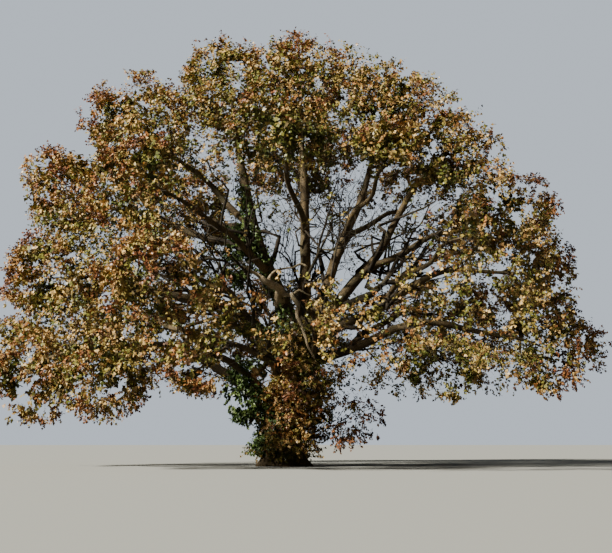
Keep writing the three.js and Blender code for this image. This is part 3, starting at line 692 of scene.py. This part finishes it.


# The side branches' bark, in colours darkened as painted shade.
side_bark_painted_shade = bark_material("side_bark_painted_shade", SHADE_DARKENED_BARK_LIGHT, SHADE_DARKENED_BARK_DARK, BARK_DARK, BARK_GREEN)
random = np.random.default_rng(77)
places = Places()
t = np.linspace(FORK_FROM, 1, FORK_PLACES)
places.add(bole.points(t), 0, bole.radii(t) * FORK_SHARE)
for limb in boughs:
    t = np.linspace(SIDE_FROM, SIDE_TO, SIDE_PLACES)
    places.add(limb.points(t), path_to(limb, SIDE_FROM), limb.radii(t))
side_parts, inner_twigs = [], []
for count, near, far, longest, radius, path_cost, turn_cost, rings, sides in SIDE_ROUNDS:
    sites = DOME_MIDDLE + spread(count, DOME_SPAN, near, far, random) * DOME_HALF
    sites = sites[sites[:, 2] > (LONG_LEAST_HEIGHT if longest > LONG_LENGTH else SIDE_LEAST_HEIGHT)]
    if longest < BARE_LENGTH:
        sites = sites[random.random(len(sites)) < HOLLOW_TWIGS + leaf_share(sites) * (1 - HOLLOW_TWIGS)]
        deep = np.linalg.norm((sites - DOME_MIDDLE) / DOME_HALF, axis=1) < OPEN_CROWN_REACH
        sites = sites[~deep | (lattice_noise(sites, CLUMP_SIZE, CLUMP_SEED) > CLUMP_LEVEL)]
    if longest < LONG_LENGTH:
        sites = sites[outside_masses(sites)]
    sites = sites[np.argsort(np.linalg.norm(sites - DOME_MIDDLE, axis=1))]
    paths, radii = [], []
    for site in sites:
        start, run, thickness, along = places.nearest(site, path_cost, turn_cost)
        if np.linalg.norm(site - start) > longest:
            continue
        root = min(radius * random.uniform(THINNEST_SHARE, 1), thickness * PARENT_SHARE)
        path = curved(start, along, site, rings, random)
        paths.append(path)
        radii.append(np.linspace(root, root * BRANCH_TIP_SHARE, rings))
        places.add(path[2:], run, radii[-1][2:])
    side_parts.append(tubes(np.array(paths), np.array(radii), sides))
    if longest < BARE_LENGTH:
        inner_twigs += list(zip(paths, radii))
side_branches = mesh_from("side_branches", *join_parts(side_parts))
side_branches.data.materials.append(side_bark_painted_shade)
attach(side_branches, "root")


# Twigs
# Inside each mass the bough's stem branches by the rule of the solids: sites are spread evenly round the
# middle, and a twig joins each to the nearest place on the wood, a long way round costing more. It is
# carried on from branches to twigs and then to the shoots that bear the leaves.
TWIG_LIGHT = "#46392A"
TWIG_MIDDLE = "#30271C"
SEED_STEP = 7919
STEM_FROM = 0.72
STEM_FOOT = 0.7
STEM_PLACES = 6
BRANCH_SITES = 12
# square metres of a mass's surface for each twig
TWIG_AREA = 0.95
AREA_POWER = 1.6
# nearest and furthest share of the mass, radius at the fork, rings, the rings that further wood leaves from
BRANCH_SIZES = (0.25, 0.62, 0.044, 6, slice(2, 6))
BRANCH_SIDES = 4
TWIG_SIZES = (0.3, 0.93, 0.018, 5, slice(2, 4))
TWIG_SIDES = 3
TWIG_TIP_SHARE = 0.45
# Shoots stand on this stretch of a twig, with one at its tip.
SHOOTS_A_TWIG = 20
SHOOT_STRETCH = (0.45, 0.97)
SHOOT_OUTWARD = 0.7
SHOOT_SPIN = 0.9
SHOOT_RISE = 0.15
SHOOT_LENGTH = 0.5
SHOOT_LENGTH_SHARES = (0.5, 1.35)
SHOOT_RADIUS = 0.007
CLUMP_DEPTH = 0.3
# The masses at these heights droop as much as this.
DROOP_HEIGHTS = [3, 7, 14]
DROOPS = [0.55, 0.3, 0.02]
RIM_REACH = 0.94
RIM_RAGGED = 0.16
RIM_SIZE = 1.1
CROWN_MIDDLE = np.array([0.0, 0.0, 8.5])
CROWN_HALF = np.array([13.3, 11.5, 10.2])
# how far a mass keeps from the planes between it and its neighbours, and the room under the lowest leaf
MASS_GAP = 0.04
GROUND_ROOM = 0.5
# Gaps of sky lie between the shoots where smooth noise rises over a level. The level falls to the right and
# at the skirts, where there are more gaps, and rises at the top and along the rim.
SKY_SIZE = 1.3
SKY_RIGHTWARD = (0, 10)
SKY_LEVELS = (0.16, -0.16)
SKY_FINE_SIZE = 0.45
SKY_FINE_SHARE = 0.4
SKY_HEIGHTS = (0, 5, 13, 16)
SKY_SHIFTS = (-0.5, 0, 0, 0.1)
SKY_RIM = (0.72, 0.95)
SKY_RIM_SHIFT = 0.42
GAP_EASE = 0.2
# the share of shoots left in the thin clump on the right of the bole
THIN_CLUMP = "shoots_right"
THIN_SHARE = 0.5
# Openings before the dead limb and before places on the climbing growth, by which these show from the front
DEAD_CLEARANCE = 0.42
DEAD_PLACES = 9
IVY_CLEARANCE = 0.75
OPENING_FALL = 0.14
OPENING_BEHIND = 0.3
IVY_SEEN = [(-1.4, -1.2, 5.1), (-1.7, -1.2, 4.4), (-1.6, -1.2, 3.6)]


def in_space(mass, points, reach=1.0):
    """Whether points lie in a mass's ellipsoid, on its own side of the planes between it and the others."""
    inside = depth_in(mass, points) < reach
    inside &= points[..., 2] > GROUND_ROOM
    own = np.sum((points - mass.middle) ** 2, axis=-1) - mass.size ** 2
    for other in masses:
        if other is mass:
            continue
        theirs = np.sum((points - other.middle) ** 2, axis=-1) - other.size ** 2
        apart = np.linalg.norm(other.middle - mass.middle)
        inside &= (own - theirs) / (2 * apart) < -MASS_GAP
    return inside


def sites_in(mass, count, near, far, random):
    """Sites spread evenly round the middle of a mass, nearest the foot of its stem first."""
    points = mass.middle + (spread(count, 1, near, far, random) * mass.half_sizes) @ mass.axes
    points = points[in_space(mass, points)]
    foot = mass.points(STEM_FOOT)
    return points[np.argsort(np.linalg.norm(points - foot, axis=1))]


def surface_of(mass):
    """About how many square metres the surface of a mass has."""
    a, b, c = mass.half_sizes
    faces = (a * b) ** AREA_POWER + (a * c) ** AREA_POWER + (b * c) ** AREA_POWER
    return 4 * np.pi * (faces / 3) ** (1 / AREA_POWER)


def grow(mass):
    """Branches and twigs of one mass, each as (points, radii) pairs."""
    random = np.random.default_rng(mass.seed * SEED_STEP)
    places = Places()
    t = np.linspace(STEM_FROM, 1, STEM_PLACES)
    places.add(mass.points(t), 0, mass.radii(t))
    grown = []
    rounds = ((BRANCH_SITES, BRANCH_SIZES), (int(surface_of(mass) / TWIG_AREA), TWIG_SIZES))
    for count, (near, far, thickest, rings, forks) in rounds:
        wood = []
        for site in sites_in(mass, count, near, far, random):
            start, run, thickness, along = places.nearest(site)
            root = min(thickest, thickness * PARENT_SHARE)
            points = curved(start, along, site, rings, random)
            radii = np.linspace(root, root * TWIG_TIP_SHARE, rings)
            wood.append((points, radii))
            places.add(points[forks], run, radii[forks])
        grown.append(wood)
    return grown


def shoots_of(paths, middle, droop, count, random):
    """The shoots round the outer half of each twig: starts, ends and the ways out of their clumps."""
    outward = unit(paths[:, -1] - middle)
    clumps = paths[:, -1] - outward * CLUMP_DEPTH
    starts, ends, outs = [], [], []
    rows = np.arange(len(paths))
    for k in range(count):
        share = np.ones(len(paths)) if k == 0 else random.uniform(*SHOOT_STRETCH, len(paths))
        at = share * (paths.shape[1] - 1)
        low = np.minimum(at.astype(int), paths.shape[1] - 2)
        part = (at - low)[:, None]
        start = paths[rows, low] * (1 - part) + paths[rows, low + 1] * part
        spin = unit(random.normal(size=start.shape))
        heading = unit(outward * SHOOT_OUTWARD + spin * SHOOT_SPIN + UP * (SHOOT_RISE - droop))
        reach = SHOOT_LENGTH * random.uniform(*SHOOT_LENGTH_SHARES, len(paths))[:, None]
        starts.append(start)
        ends.append(start + heading * reach)
        outs.append(unit(ends[-1] - clumps))
    return np.vstack(starts), np.vstack(ends), np.vstack(outs)


def in_opening(points):
    """Whether points lie in an opening, through which the dead limb or the climbing growth shows."""
    inside = np.zeros(len(points), dtype=bool)
    places = [(place, DEAD_CLEARANCE) for row in DEAD_LIMBS + DEAD_TWIGS[:2]
              for place in limbs[row[0]].points(np.linspace(0, 1, DEAD_PLACES))]
    places += [(np.array(place), IVY_CLEARANCE) for place in IVY_SEEN]
    for place, clearance in places:
        back = points[:, 1] - place[1]
        across = np.hypot(points[:, 0] - place[0], points[:, 2] - place[2] - back * OPENING_FALL)
        inside |= (across < clearance) & (back < OPENING_BEHIND)
    return inside


def clear_of_gaps(points, ease):
    """Whether points lie outside the gaps of sky, which narrow as ease rises."""
    level = np.interp(points[:, 0], SKY_RIGHTWARD, SKY_LEVELS)
    level += np.interp(points[:, 2], SKY_HEIGHTS, SKY_SHIFTS)
    out = np.linalg.norm((points - CROWN_MIDDLE) / CROWN_HALF, axis=1)
    level += np.interp(out, SKY_RIM, (0, SKY_RIM_SHIFT))
    sky = lattice_noise(points, SKY_SIZE, seed=12)
    sky += lattice_noise(points, SKY_FINE_SIZE, seed=13) * SKY_FINE_SHARE
    return sky < level + ease


def spikes(starts, ends, radius):
    """Shoots, too thin to show a thickness, as slim points."""
    side = unit(np.cross(ends - starts, UP + 0.01)) * radius
    vertices = np.stack([starts - side, starts + side, ends], axis=1).reshape(-1, 3)
    return vertices, np.arange(len(vertices)).reshape(-1, 3)


# Leaves
# Sycamore leaves in autumn: lobed blades, dry and a little cupped, that hang on their stalks round the
# shoots, about 11 cm long in the light, 13 cm between the masses and 19 cm in their shade. Each spray has
# turned to one plain tint, tan and rust at its tips and olive deep in the crown, where the dark olive deep
# in each mass is partly leaf still green and partly painted shade.
LEAF_LENGTH = 0.11
LEAVES_A_SPRAY = 7
DEEP_REACH = 0.74
DEEP_LEAF_LENGTH = 0.19
DEEP_LEAVES_A_SPRAY = 4
LEAF_LENGTH_SHARES = (0.7, 1.2)
INNER_LEAVES_A_SPRAY = 5
GAP_LEAF_LENGTH = 0.13
INNER_SHOOTS = 9
INNER_DROOP = 0.1
INNER_LEAFINESS = 0.42
INNER_DEPTH = 0.6
# A leaf's stalk runs round the shoot and forward, out of the clump and down. Its face looks up and out.
SPRAY_FROM = 0.25
STALK_TURN = 0.5
STALK_FALL = (0.1, 0.9)
STALK_ROUND = 0.8
STALK_FORWARD = 0.55
STALK_OUTWARD = 0.25
FACE_UP = 0.35
FACE_OUTWARD = 0.9
FACE_SPIN = 0.65
LEAF_OUTLINE = [(0, 0), (0.56, 0.26), (0.24, 0.52), (0, 1), (-0.52, 0.34)]
LEAF_CUP = 0.45
LEAF_ROUGHNESS = 0.42
LEAF_IOR = 1.42
# Each tint stands at its need, which rises outwards in the crown and in the mass, and by patches.
# Its fall to dark olive deep in a mass is partly leaf still green and partly painted shade.
LEAF_TINTS = ["#454A1E", "#5C6027", "#554623", "#7A7532", "#958140", "#CDA968", "#9B7442", "#A06A38",
              "#865231", "#5A3E27"]
TINT_NEEDS = [0.0, 0.15, 0.3, 0.38, 0.5, 0.6, 0.7, 0.86, 1.0, 0.84]
NEED_CROWN_FROM = 0.4
NEED_CROWN_SPAN = 0.55
NEED_CROWN = 0.36
# Painted shade in part: the need falls deep in a mass, to the darkest olive tints.
NEED_DEPTH_MIDDLE = 0.55
NEED_DEPTH = 1.15
NEED_PATCH = 0.35
NEED_SCATTER = (-0.15, 0.3)
TINT_PATCH_SIZE = 1.6
TINT_MIXING = 0.2
# Leafy sprouts clothe the front of the bole, duller near the ground; higher up their tints are lighter, as
# painted light.
SPROUTS = 260
SPROUT_SPAN = (0.05, 0.98)
SPROUT_HEADING = 288
SPROUT_SPREAD = 34
SPROUT_ELEVATIONS = (-5, 40)
SPROUT_ROOT_SHARE = 0.8
SPROUT_LENGTH = 1.0
SPROUT_LENGTH_SHARES = (0.5, 1.2)
SPROUT_RISES = (-0.1, 0.2)
SPROUT_RINGS = 6
SPROUT_RADII = (0.012, 0.005)
SPROUT_SHOOTS = 8
SPROUT_DROOP = 0.1
SPROUT_LEAST_HEIGHT = 0.2
SPROUT_HEIGHTS = (0.9, 2.4)
SPROUT_PAINTED_LIGHT_DEPTHS = (0.6, 0.86)
# The shoots on the bole take the tan and rust tints of leaves further out: painted light, for the sun that
# the crown keeps off them.
SHOOTS_PAINTED_LIGHT = 0.2


def leaf_shape(outline, cup):
    """A blade's points, its base first, with the tips of its lobes cupped, and its fan of triangles."""
    points = np.array([(x, y, -cup * (x * x + y * y / 2)) for x, y in outline])
    fan = np.array([(0, i, i + 1) for i in range(1, len(points) - 1)])
    return points, fan


def blades(shape, base, along, normal, lengths):
    """Leaves of one shape at many places, as vertices and triangles."""
    points, fan = shape
    across = unit(np.cross(along, normal))
    normal = np.cross(across, along)
    scaled = points[None] * lengths[:, None, None]
    vertices = base[:, None] + scaled[..., :1] * across[:, None]
    vertices = vertices + scaled[..., 1:2] * along[:, None] + scaled[..., 2:] * normal[:, None]
    first = np.arange(len(base))[:, None, None] * len(points)
    return vertices.reshape(-1, 3), (fan[None] + first).reshape(-1, 3)


def spray_leaves(shape, starts, ends, outs, random, count, length):
    """Leaves set round shoots. Each hangs out and down on its stalk and faces up and out."""
    along = unit(ends - starts)
    side = unit(np.cross(along, unit(random.normal(size=along.shape))))
    other = np.cross(along, side)
    bases, ways, faces, lengths = [], [], [], []
    for k in range(count):
        share = SPRAY_FROM + (1 - SPRAY_FROM) * (k + 1) / count
        turn = k * GOLDEN_ANGLE + random.uniform(-STALK_TURN, STALK_TURN, (len(starts), 1))
        round_shoot = side * np.cos(turn) + other * np.sin(turn)
        base = starts + (ends - starts) * share
        fall = random.uniform(*STALK_FALL, (len(starts), 1))
        way = round_shoot * STALK_ROUND + along * STALK_FORWARD + outs * STALK_OUTWARD - UP * fall
        face = UP * FACE_UP + outs * FACE_OUTWARD + random.normal(size=base.shape) * FACE_SPIN
        bases.append(base)
        ways.append(unit(way))
        faces.append(face)
        lengths.append(length * random.uniform(*LEAF_LENGTH_SHARES, len(starts)))
    return blades(shape, np.vstack(bases), np.vstack(ways), np.vstack(faces), np.concatenate(lengths))


def leaf_materials(name, tints, roughness):
    """Leaf blades in plain tints, with the soft gloss of their skin of wax."""
    materials = []
    for i, tint in enumerate(tints):
        material, shader = new_material(name + "_" + str(i))
        shader.inputs["Base Color"].default_value = linear(tint)
        shader.inputs["Roughness"].default_value = roughness
        shader.inputs["IOR"].default_value = LEAF_IOR
        materials.append(material)
    return materials


leaf_tints = leaf_materials("autumn_leaf", LEAF_TINTS, LEAF_ROUGHNESS)
sycamore_blade = leaf_shape(LEAF_OUTLINE, LEAF_CUP)
# The leaves are joined in sectors of the crown, each with the masses that it takes in.
SECTORS = {
    "left": ["left_low", "left_mid", "left_high", "front_left_low"],
    "front": ["front_low", "front_mid", "front_left", "front_left_high", "front_top", "shoots_front"],
    "right": ["right_bough", "right_low", "right_high", "right_low_inner", "front_right", "shoots_right"],
    "top": ["left_leader", "centre_leader", "right_leader", "left_shoulder", "right_stem",
            "front_top_right"],
    "back_left": ["back_low", "left_low_back", "back_left_high"],
    "back_right": ["back_top", "back_right_high", "back_right_low"],
    "inner": [],
}


def deal_tints(starts, depth, random):
    """One tint for each spray, by how far out it stands in the crown and, from 0 to 1, in its mass."""
    out = np.linalg.norm((starts - CROWN_MIDDLE) / CROWN_HALF, axis=1)
    need = np.clip((out - NEED_CROWN_FROM) / NEED_CROWN_SPAN, 0, 1) * NEED_CROWN
    # Deep in a mass the need falls to dark olive: partly leaf still green, partly painted shade.
    need += (depth - NEED_DEPTH_MIDDLE) * NEED_DEPTH
    patch = lattice_noise(starts, TINT_PATCH_SIZE, seed=21) * NEED_PATCH
    need += patch + random.uniform(*NEED_SCATTER, len(starts))
    distance = np.abs(need[:, None] - np.array(TINT_NEEDS))
    distance += random.uniform(0, TINT_MIXING, distance.shape)
    return np.argmin(distance, axis=1)


def sprouts_of(random):
    """Twigs that stand out from the front of the bole, as (points, radii) pairs."""
    twigs = []
    for _ in range(SPROUTS):
        t = random.uniform(*SPROUT_SPAN)
        outward = direction(random.normal(SPROUT_HEADING, SPROUT_SPREAD), random.uniform(*SPROUT_ELEVATIONS))
        start = bole.points(t) + outward * bole.radii(t) * SPROUT_ROOT_SHARE
        reach = SPROUT_LENGTH * random.uniform(*SPROUT_LENGTH_SHARES)
        end = start + outward * reach + UP * random.uniform(*SPROUT_RISES)
        points = curved(start, outward, end, SPROUT_RINGS, random)
        twigs.append((points, np.linspace(*SPROUT_RADII, SPROUT_RINGS)))
    return twigs


def leaf_piece(name, sprays, tints):
    """One joined piece from (vertices, triangles, tint of each triangle) rows."""
    vertices, triangles = join_parts([spray[:2] for spray in sprays])
    tint_rows = np.concatenate([spray[2] for spray in sprays])
    piece = mesh_from(name, vertices, triangles, smooth=False)
    for tint in tints:
        piece.data.materials.append(tint)
    piece.data.polygons.foreach_set("material_index", tint_rows.astype(np.int32))
    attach(piece, "root")
    return piece


def wood_tubes(wood, sides):
    """Tubes of (points, radii) pairs."""
    return tubes(np.array([points for points, _ in wood]), np.array([radii for _, radii in wood]), sides)


def dressed(starts, ends, outs, count, length, depth, random):
    """The leaves of shoots, count on each, and the tint of each of their triangles."""
    vertices, triangles = spray_leaves(sycamore_blade, starts, ends, outs, random, count, length)
    leaf_tint = np.tile(deal_tints(starts, depth, random), count)
    return vertices, triangles, np.repeat(leaf_tint, len(sycamore_blade[1]))


def dress_mass(mass):
    """Grows the wood of one mass, and gives the leaves on it."""
    random = np.random.default_rng(mass.seed * SEED_STEP + 1)
    branches, twigs = grow(mass)
    if branches:
        branch_parts.append(wood_tubes(branches, BRANCH_SIDES))
    branch_parts.append(wood_tubes(twigs, TWIG_SIDES))
    droop = np.interp(mass.middle[2], DROOP_HEIGHTS, DROOPS)
    paths = np.array([points for points, _ in twigs])
    starts, ends, outs = shoots_of(paths, mass.middle, droop, SHOOTS_A_TWIG, random)
    ragged = RIM_REACH + RIM_RAGGED * lattice_noise(ends, RIM_SIZE, seed=14)
    kept = in_space(mass, ends, np.minimum(ragged, 1)) & ~in_opening(ends)
    if mass in boughs:
        kept &= clear_of_gaps(ends, 0)
    thinness = THIN_SHARE if mass.name == THIN_CLUMP else 1
    kept &= random.random(len(ends)) < leaf_share(ends) * thinness
    starts, ends, outs = starts[kept], ends[kept], outs[kept]
    shoot_parts.append(spikes(starts, ends, SHOOT_RADIUS))
    depth = depth_in(mass, ends)
    # Painted light: the bole's shoots get lighter tints than their place in the mass gives.
    depth += SHOOTS_PAINTED_LIGHT if mass in shoots else 0
    deep = depth < (DEEP_REACH if mass in boughs else 0)
    light_row = (LEAVES_A_SPRAY, LEAF_LENGTH, ~deep)
    shade_row = (DEEP_LEAVES_A_SPRAY, DEEP_LEAF_LENGTH, deep)
    return [dressed(starts[these], ends[these], outs[these], count, length, depth[these], random)
            for count, length, these in (light_row, shade_row)]


def dress_bole():
    """Grows the sprouts on the front of the bole, and gives their leaves."""
    random = np.random.default_rng(79)
    twigs = sprouts_of(random)
    branch_parts.append(wood_tubes(twigs, TWIG_SIDES))
    paths = np.array([points for points, _ in twigs])
    starts, ends, outs = shoots_of(paths, bole.points(0.5), SPROUT_DROOP, SPROUT_SHOOTS, random)
    kept = ends[:, 2] > SPROUT_LEAST_HEIGHT
    starts, ends, outs = starts[kept], ends[kept], outs[kept]
    # Painted light: the sprouts take tints as if they stood out in the light, more so higher up the bole.
    depth = np.interp(starts[:, 2], SPROUT_HEIGHTS, SPROUT_PAINTED_LIGHT_DEPTHS)
    return [dressed(starts, ends, outs, LEAVES_A_SPRAY, LEAF_LENGTH, depth, random)]


def dress_inner_twigs():
    """The leaves on the side branches' twigs, which grow deep in the crown and between its masses."""
    random = np.random.default_rng(78)
    paths = np.array([points for points, _ in inner_twigs])
    deep = np.linalg.norm((paths[:, -1] - DOME_MIDDLE) / DOME_HALF, axis=1) < OPEN_CROWN_REACH
    leafy = random.uniform(0, 1, len(paths)) < np.where(deep, INNER_LEAFINESS, 1)
    starts, ends, outs = shoots_of(paths[leafy], DOME_MIDDLE, INNER_DROOP, INNER_SHOOTS, random)
    lengths = np.tile(np.where(deep[leafy], LEAF_LENGTH, GAP_LEAF_LENGTH), INNER_SHOOTS)
    kept = ~in_opening(ends) & clear_of_gaps(ends, GAP_EASE)
    kept &= random.random(len(ends)) < leaf_share(ends)
    starts, ends, outs, lengths = starts[kept], ends[kept], outs[kept], lengths[kept]
    shoot_parts.append(spikes(starts, ends, SHOOT_RADIUS))
    return [dressed(starts, ends, outs, INNER_LEAVES_A_SPRAY, lengths, INNER_DEPTH, random)]


twig_bark = bark_material("twig_bark", TWIG_LIGHT, TWIG_MIDDLE, BARK_DARK, BARK_GREEN)
branch_parts, shoot_parts = [], []
for sector, names in SECTORS.items():
    sprays = []
    for name in names:
        sprays += dress_mass(limbs[name])
    if sector == "front":
        sprays += dress_bole()
    if sector == "inner":
        sprays += dress_inner_twigs()
    leaves = leaf_piece("leaves_" + sector, sprays, leaf_tints)
    if names:
        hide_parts(*["foliage_" + name for name in names])

for name, parts in (("branches", branch_parts), ("shoots", shoot_parts)):
    wood = mesh_from(name, *join_parts(parts))
    wood.data.materials.append(twig_bark)
    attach(wood, "root")


# Climbing growth
# Evergreen climbing stems clothe the left, the front and the back of the bole and the outer side of the
# left leader, thick enough to hide the bark. The leaves are dark and glossy, and overlap like scales.
IVY_TINTS = ["#3B4D22", "#2A3A1A", "#4D612D", "#68793F"]
IVY_LEAF_LENGTH = 0.13
IVY_OUTLINE = [(0, 0), (0.44, 0.08), (0.32, 0.52), (0, 1), (-0.42, 0.28)]
IVY_LEAF_CUP = 0.3
IVY_ROUGHNESS = 0.38
IVY_LEAVES_A_SPRAY = 12
IVY_SHOOTS_A_TWIG = 14
IVY_DROOP = 0.6
# On the wood the leaves spread by this angle round the host, rise by this one, and stand this far off it
# at least. They hang down, and thicken in clumps.
IVY_SPREAD = 55
IVY_ELEVATION = 12
IVY_STAND = 0.03
IVY_CLUMP_SIZE = 0.8
IVY_OUTWARD = 0.4
IVY_FALL = 0.8
IVY_WAY_SPIN = 0.5
IVY_FACE_SPIN = 0.45
# host, from, to, the heading that it is thickest towards, depth, leaves
IVY_HOSTS = [
    ("trunk", 0.04, 1.0, 215, 0.85, 5000),
    ("trunk", 0.03, 0.5, 190, 1.35, 3200),
    ("trunk", 0.02, 0.95, 75, 0.35, 1200),
    ("left_leader", 0.0, 0.6, 200, 0.6, 2400),
    ("left_mid", 0.02, 0.2, 220, 0.4, 700),
    ("left_low", 0.02, 0.24, 220, 0.4, 700),
]
ivy_blade = leaf_shape(IVY_OUTLINE, IVY_LEAF_CUP)
ivy_tints = leaf_materials("climber_leaf", IVY_TINTS, IVY_ROUGHNESS)
random = np.random.default_rng(41)
ivy_sprays, ivy_wood = [], []
for host, low, high, heading, depth, count in IVY_HOSTS:
    limb = limbs[host]
    t = low + (high - low) * random.uniform(0, 1, count)
    centres = limb.points(t)
    headings = random.normal(0, IVY_SPREAD, count) + heading
    outward = np.stack([direction(angle, IVY_ELEVATION) for angle in headings])
    clump = lattice_noise(centres + outward, IVY_CLUMP_SIZE, seed=9) * 0.5 + 0.5
    stand = limb.radii(t) + IVY_STAND + depth * clump * random.uniform(0, 1, count)
    base = centres + outward * stand[:, None]
    way = unit(outward * IVY_OUTWARD - UP * IVY_FALL + random.normal(size=base.shape) * IVY_WAY_SPIN)
    face = outward + random.normal(size=base.shape) * IVY_FACE_SPIN
    lengths = IVY_LEAF_LENGTH * random.uniform(*LEAF_LENGTH_SHARES, count)
    vertices, triangles = blades(ivy_blade, base, way, face, lengths)
    tint = np.repeat(random.integers(0, len(IVY_TINTS), count), len(ivy_blade[1]))
    ivy_sprays.append((vertices, triangles, tint))
for mass in climbers:
    branches, twigs = grow(mass)
    ivy_wood += [wood_tubes(branches, BRANCH_SIDES), wood_tubes(twigs, BRANCH_SIDES)]
    paths = np.array([points for points, _ in twigs])
    starts, ends, outs = shoots_of(paths, mass.middle, IVY_DROOP, IVY_SHOOTS_A_TWIG, random)
    kept = in_space(mass, ends)
    shown = starts[kept], ends[kept], outs[kept]
    vertices, triangles = spray_leaves(ivy_blade, *shown, random, IVY_LEAVES_A_SPRAY, IVY_LEAF_LENGTH)
    tint = np.tile(random.integers(0, len(IVY_TINTS), np.sum(kept)), IVY_LEAVES_A_SPRAY)
    ivy_sprays.append((vertices, triangles, np.repeat(tint, len(ivy_blade[1]))))
ivy = leaf_piece("climber_leaves", ivy_sprays, ivy_tints)
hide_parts(*["foliage_" + mass.name for mass in climbers])
stems = mesh_from("climber_stems", *join_parts(ivy_wood))
stems.data.materials.append(twig_bark)
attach(stems, "root")


# Floor, light and camera
# A pale level floor that runs to the horizon, a broad key light from the upper left in front, and a pale
# sky. Floor and sky lend less light to the tree than they show. The camera stands 45 m off at eye height
# and looks up.
FLOOR_SIZE = 900
FLOOR_COLOUR = "#A3A29B"
FLOOR_SHADE = "#4A4944"
FLOOR_ROUGHNESS = 0.9
SKY_COLOUR = "#D9E4F0"
SKY_SEEN = 0.85
SKY_FILL = 0.1
KEY_STRENGTH = 11.0
KEY_SPREAD = 5
KEY_COLOUR = (1.0, 0.98, 0.88)
KEY_TILT = 60
KEY_TURN = -63
CAMERA_PLACE = (0.97, -45, 1.0)
CAMERA_PITCH = 9.3
PHOTO_WIDTH = 612
FOCAL_PIXELS = 1016
SENSOR_WIDTH = 36
VIEW_END = 2000

# The floor is pale matt plaster, without gloss.
half = FLOOR_SIZE / 2
corners = np.array([(-half, -half, 0), (half, -half, 0), (half, half, 0), (-half, half, 0)])
floor = mesh_from("floor", corners, np.array([[0, 1, 2, 3]]))
plaster, plaster_shader = new_material("pale_matt_plaster")
seen_ray = add_node(plaster, "ShaderNodeLightPath")
plaster_tone = add_node(plaster, "ShaderNodeMix",
                        {"data_type": "RGBA", MIX_FIRST: linear(FLOOR_SHADE),
                         MIX_SECOND: linear(FLOOR_COLOUR)},
                        {MIX_SHARE: (seen_ray, "Is Camera Ray")})
plaster.node_tree.links.new(plaster_tone.outputs[MIX_RESULT], plaster_shader.inputs["Base Color"])
plaster_shader.inputs["Roughness"].default_value = FLOOR_ROUGHNESS
floor.data.materials.append(plaster)

world = bpy.data.worlds.new("pale_sky")
world.use_nodes = True
seen = world.node_tree.nodes["Background"]
seen.inputs["Color"].default_value = linear(SKY_COLOUR)
seen.inputs["Strength"].default_value = SKY_SEEN
fill = add_node(world, "ShaderNodeBackground", {"Color": linear(SKY_COLOUR), "Strength": SKY_FILL})
ray = add_node(world, "ShaderNodeLightPath")
either = add_node(world, "ShaderNodeMixShader", links={
    "Fac": (ray, "Is Camera Ray"), 1: (fill, "Background"), 2: (seen, "Background"),
})
world.node_tree.links.new(either.outputs["Shader"], world.node_tree.nodes["World Output"].inputs["Surface"])
bpy.context.scene.world = world

key = bpy.data.lights.new("key", "SUN")
key.energy = KEY_STRENGTH
key.angle = math.radians(KEY_SPREAD)
key.color = KEY_COLOUR
key_lamp = bpy.data.objects.new("key", key)
key_lamp.rotation_euler = (math.radians(KEY_TILT), 0, math.radians(KEY_TURN))
bpy.context.collection.objects.link(key_lamp)

camera = bpy.data.cameras.new("camera")
camera.sensor_width = SENSOR_WIDTH
camera.lens = SENSOR_WIDTH * FOCAL_PIXELS / PHOTO_WIDTH
camera.clip_end = VIEW_END
viewer = bpy.data.objects.new("camera", camera)
viewer.location = CAMERA_PLACE
viewer.rotation_euler = (math.radians(90 + CAMERA_PITCH), 0, 0)
bpy.context.collection.objects.link(viewer)
bpy.context.scene.camera = viewer
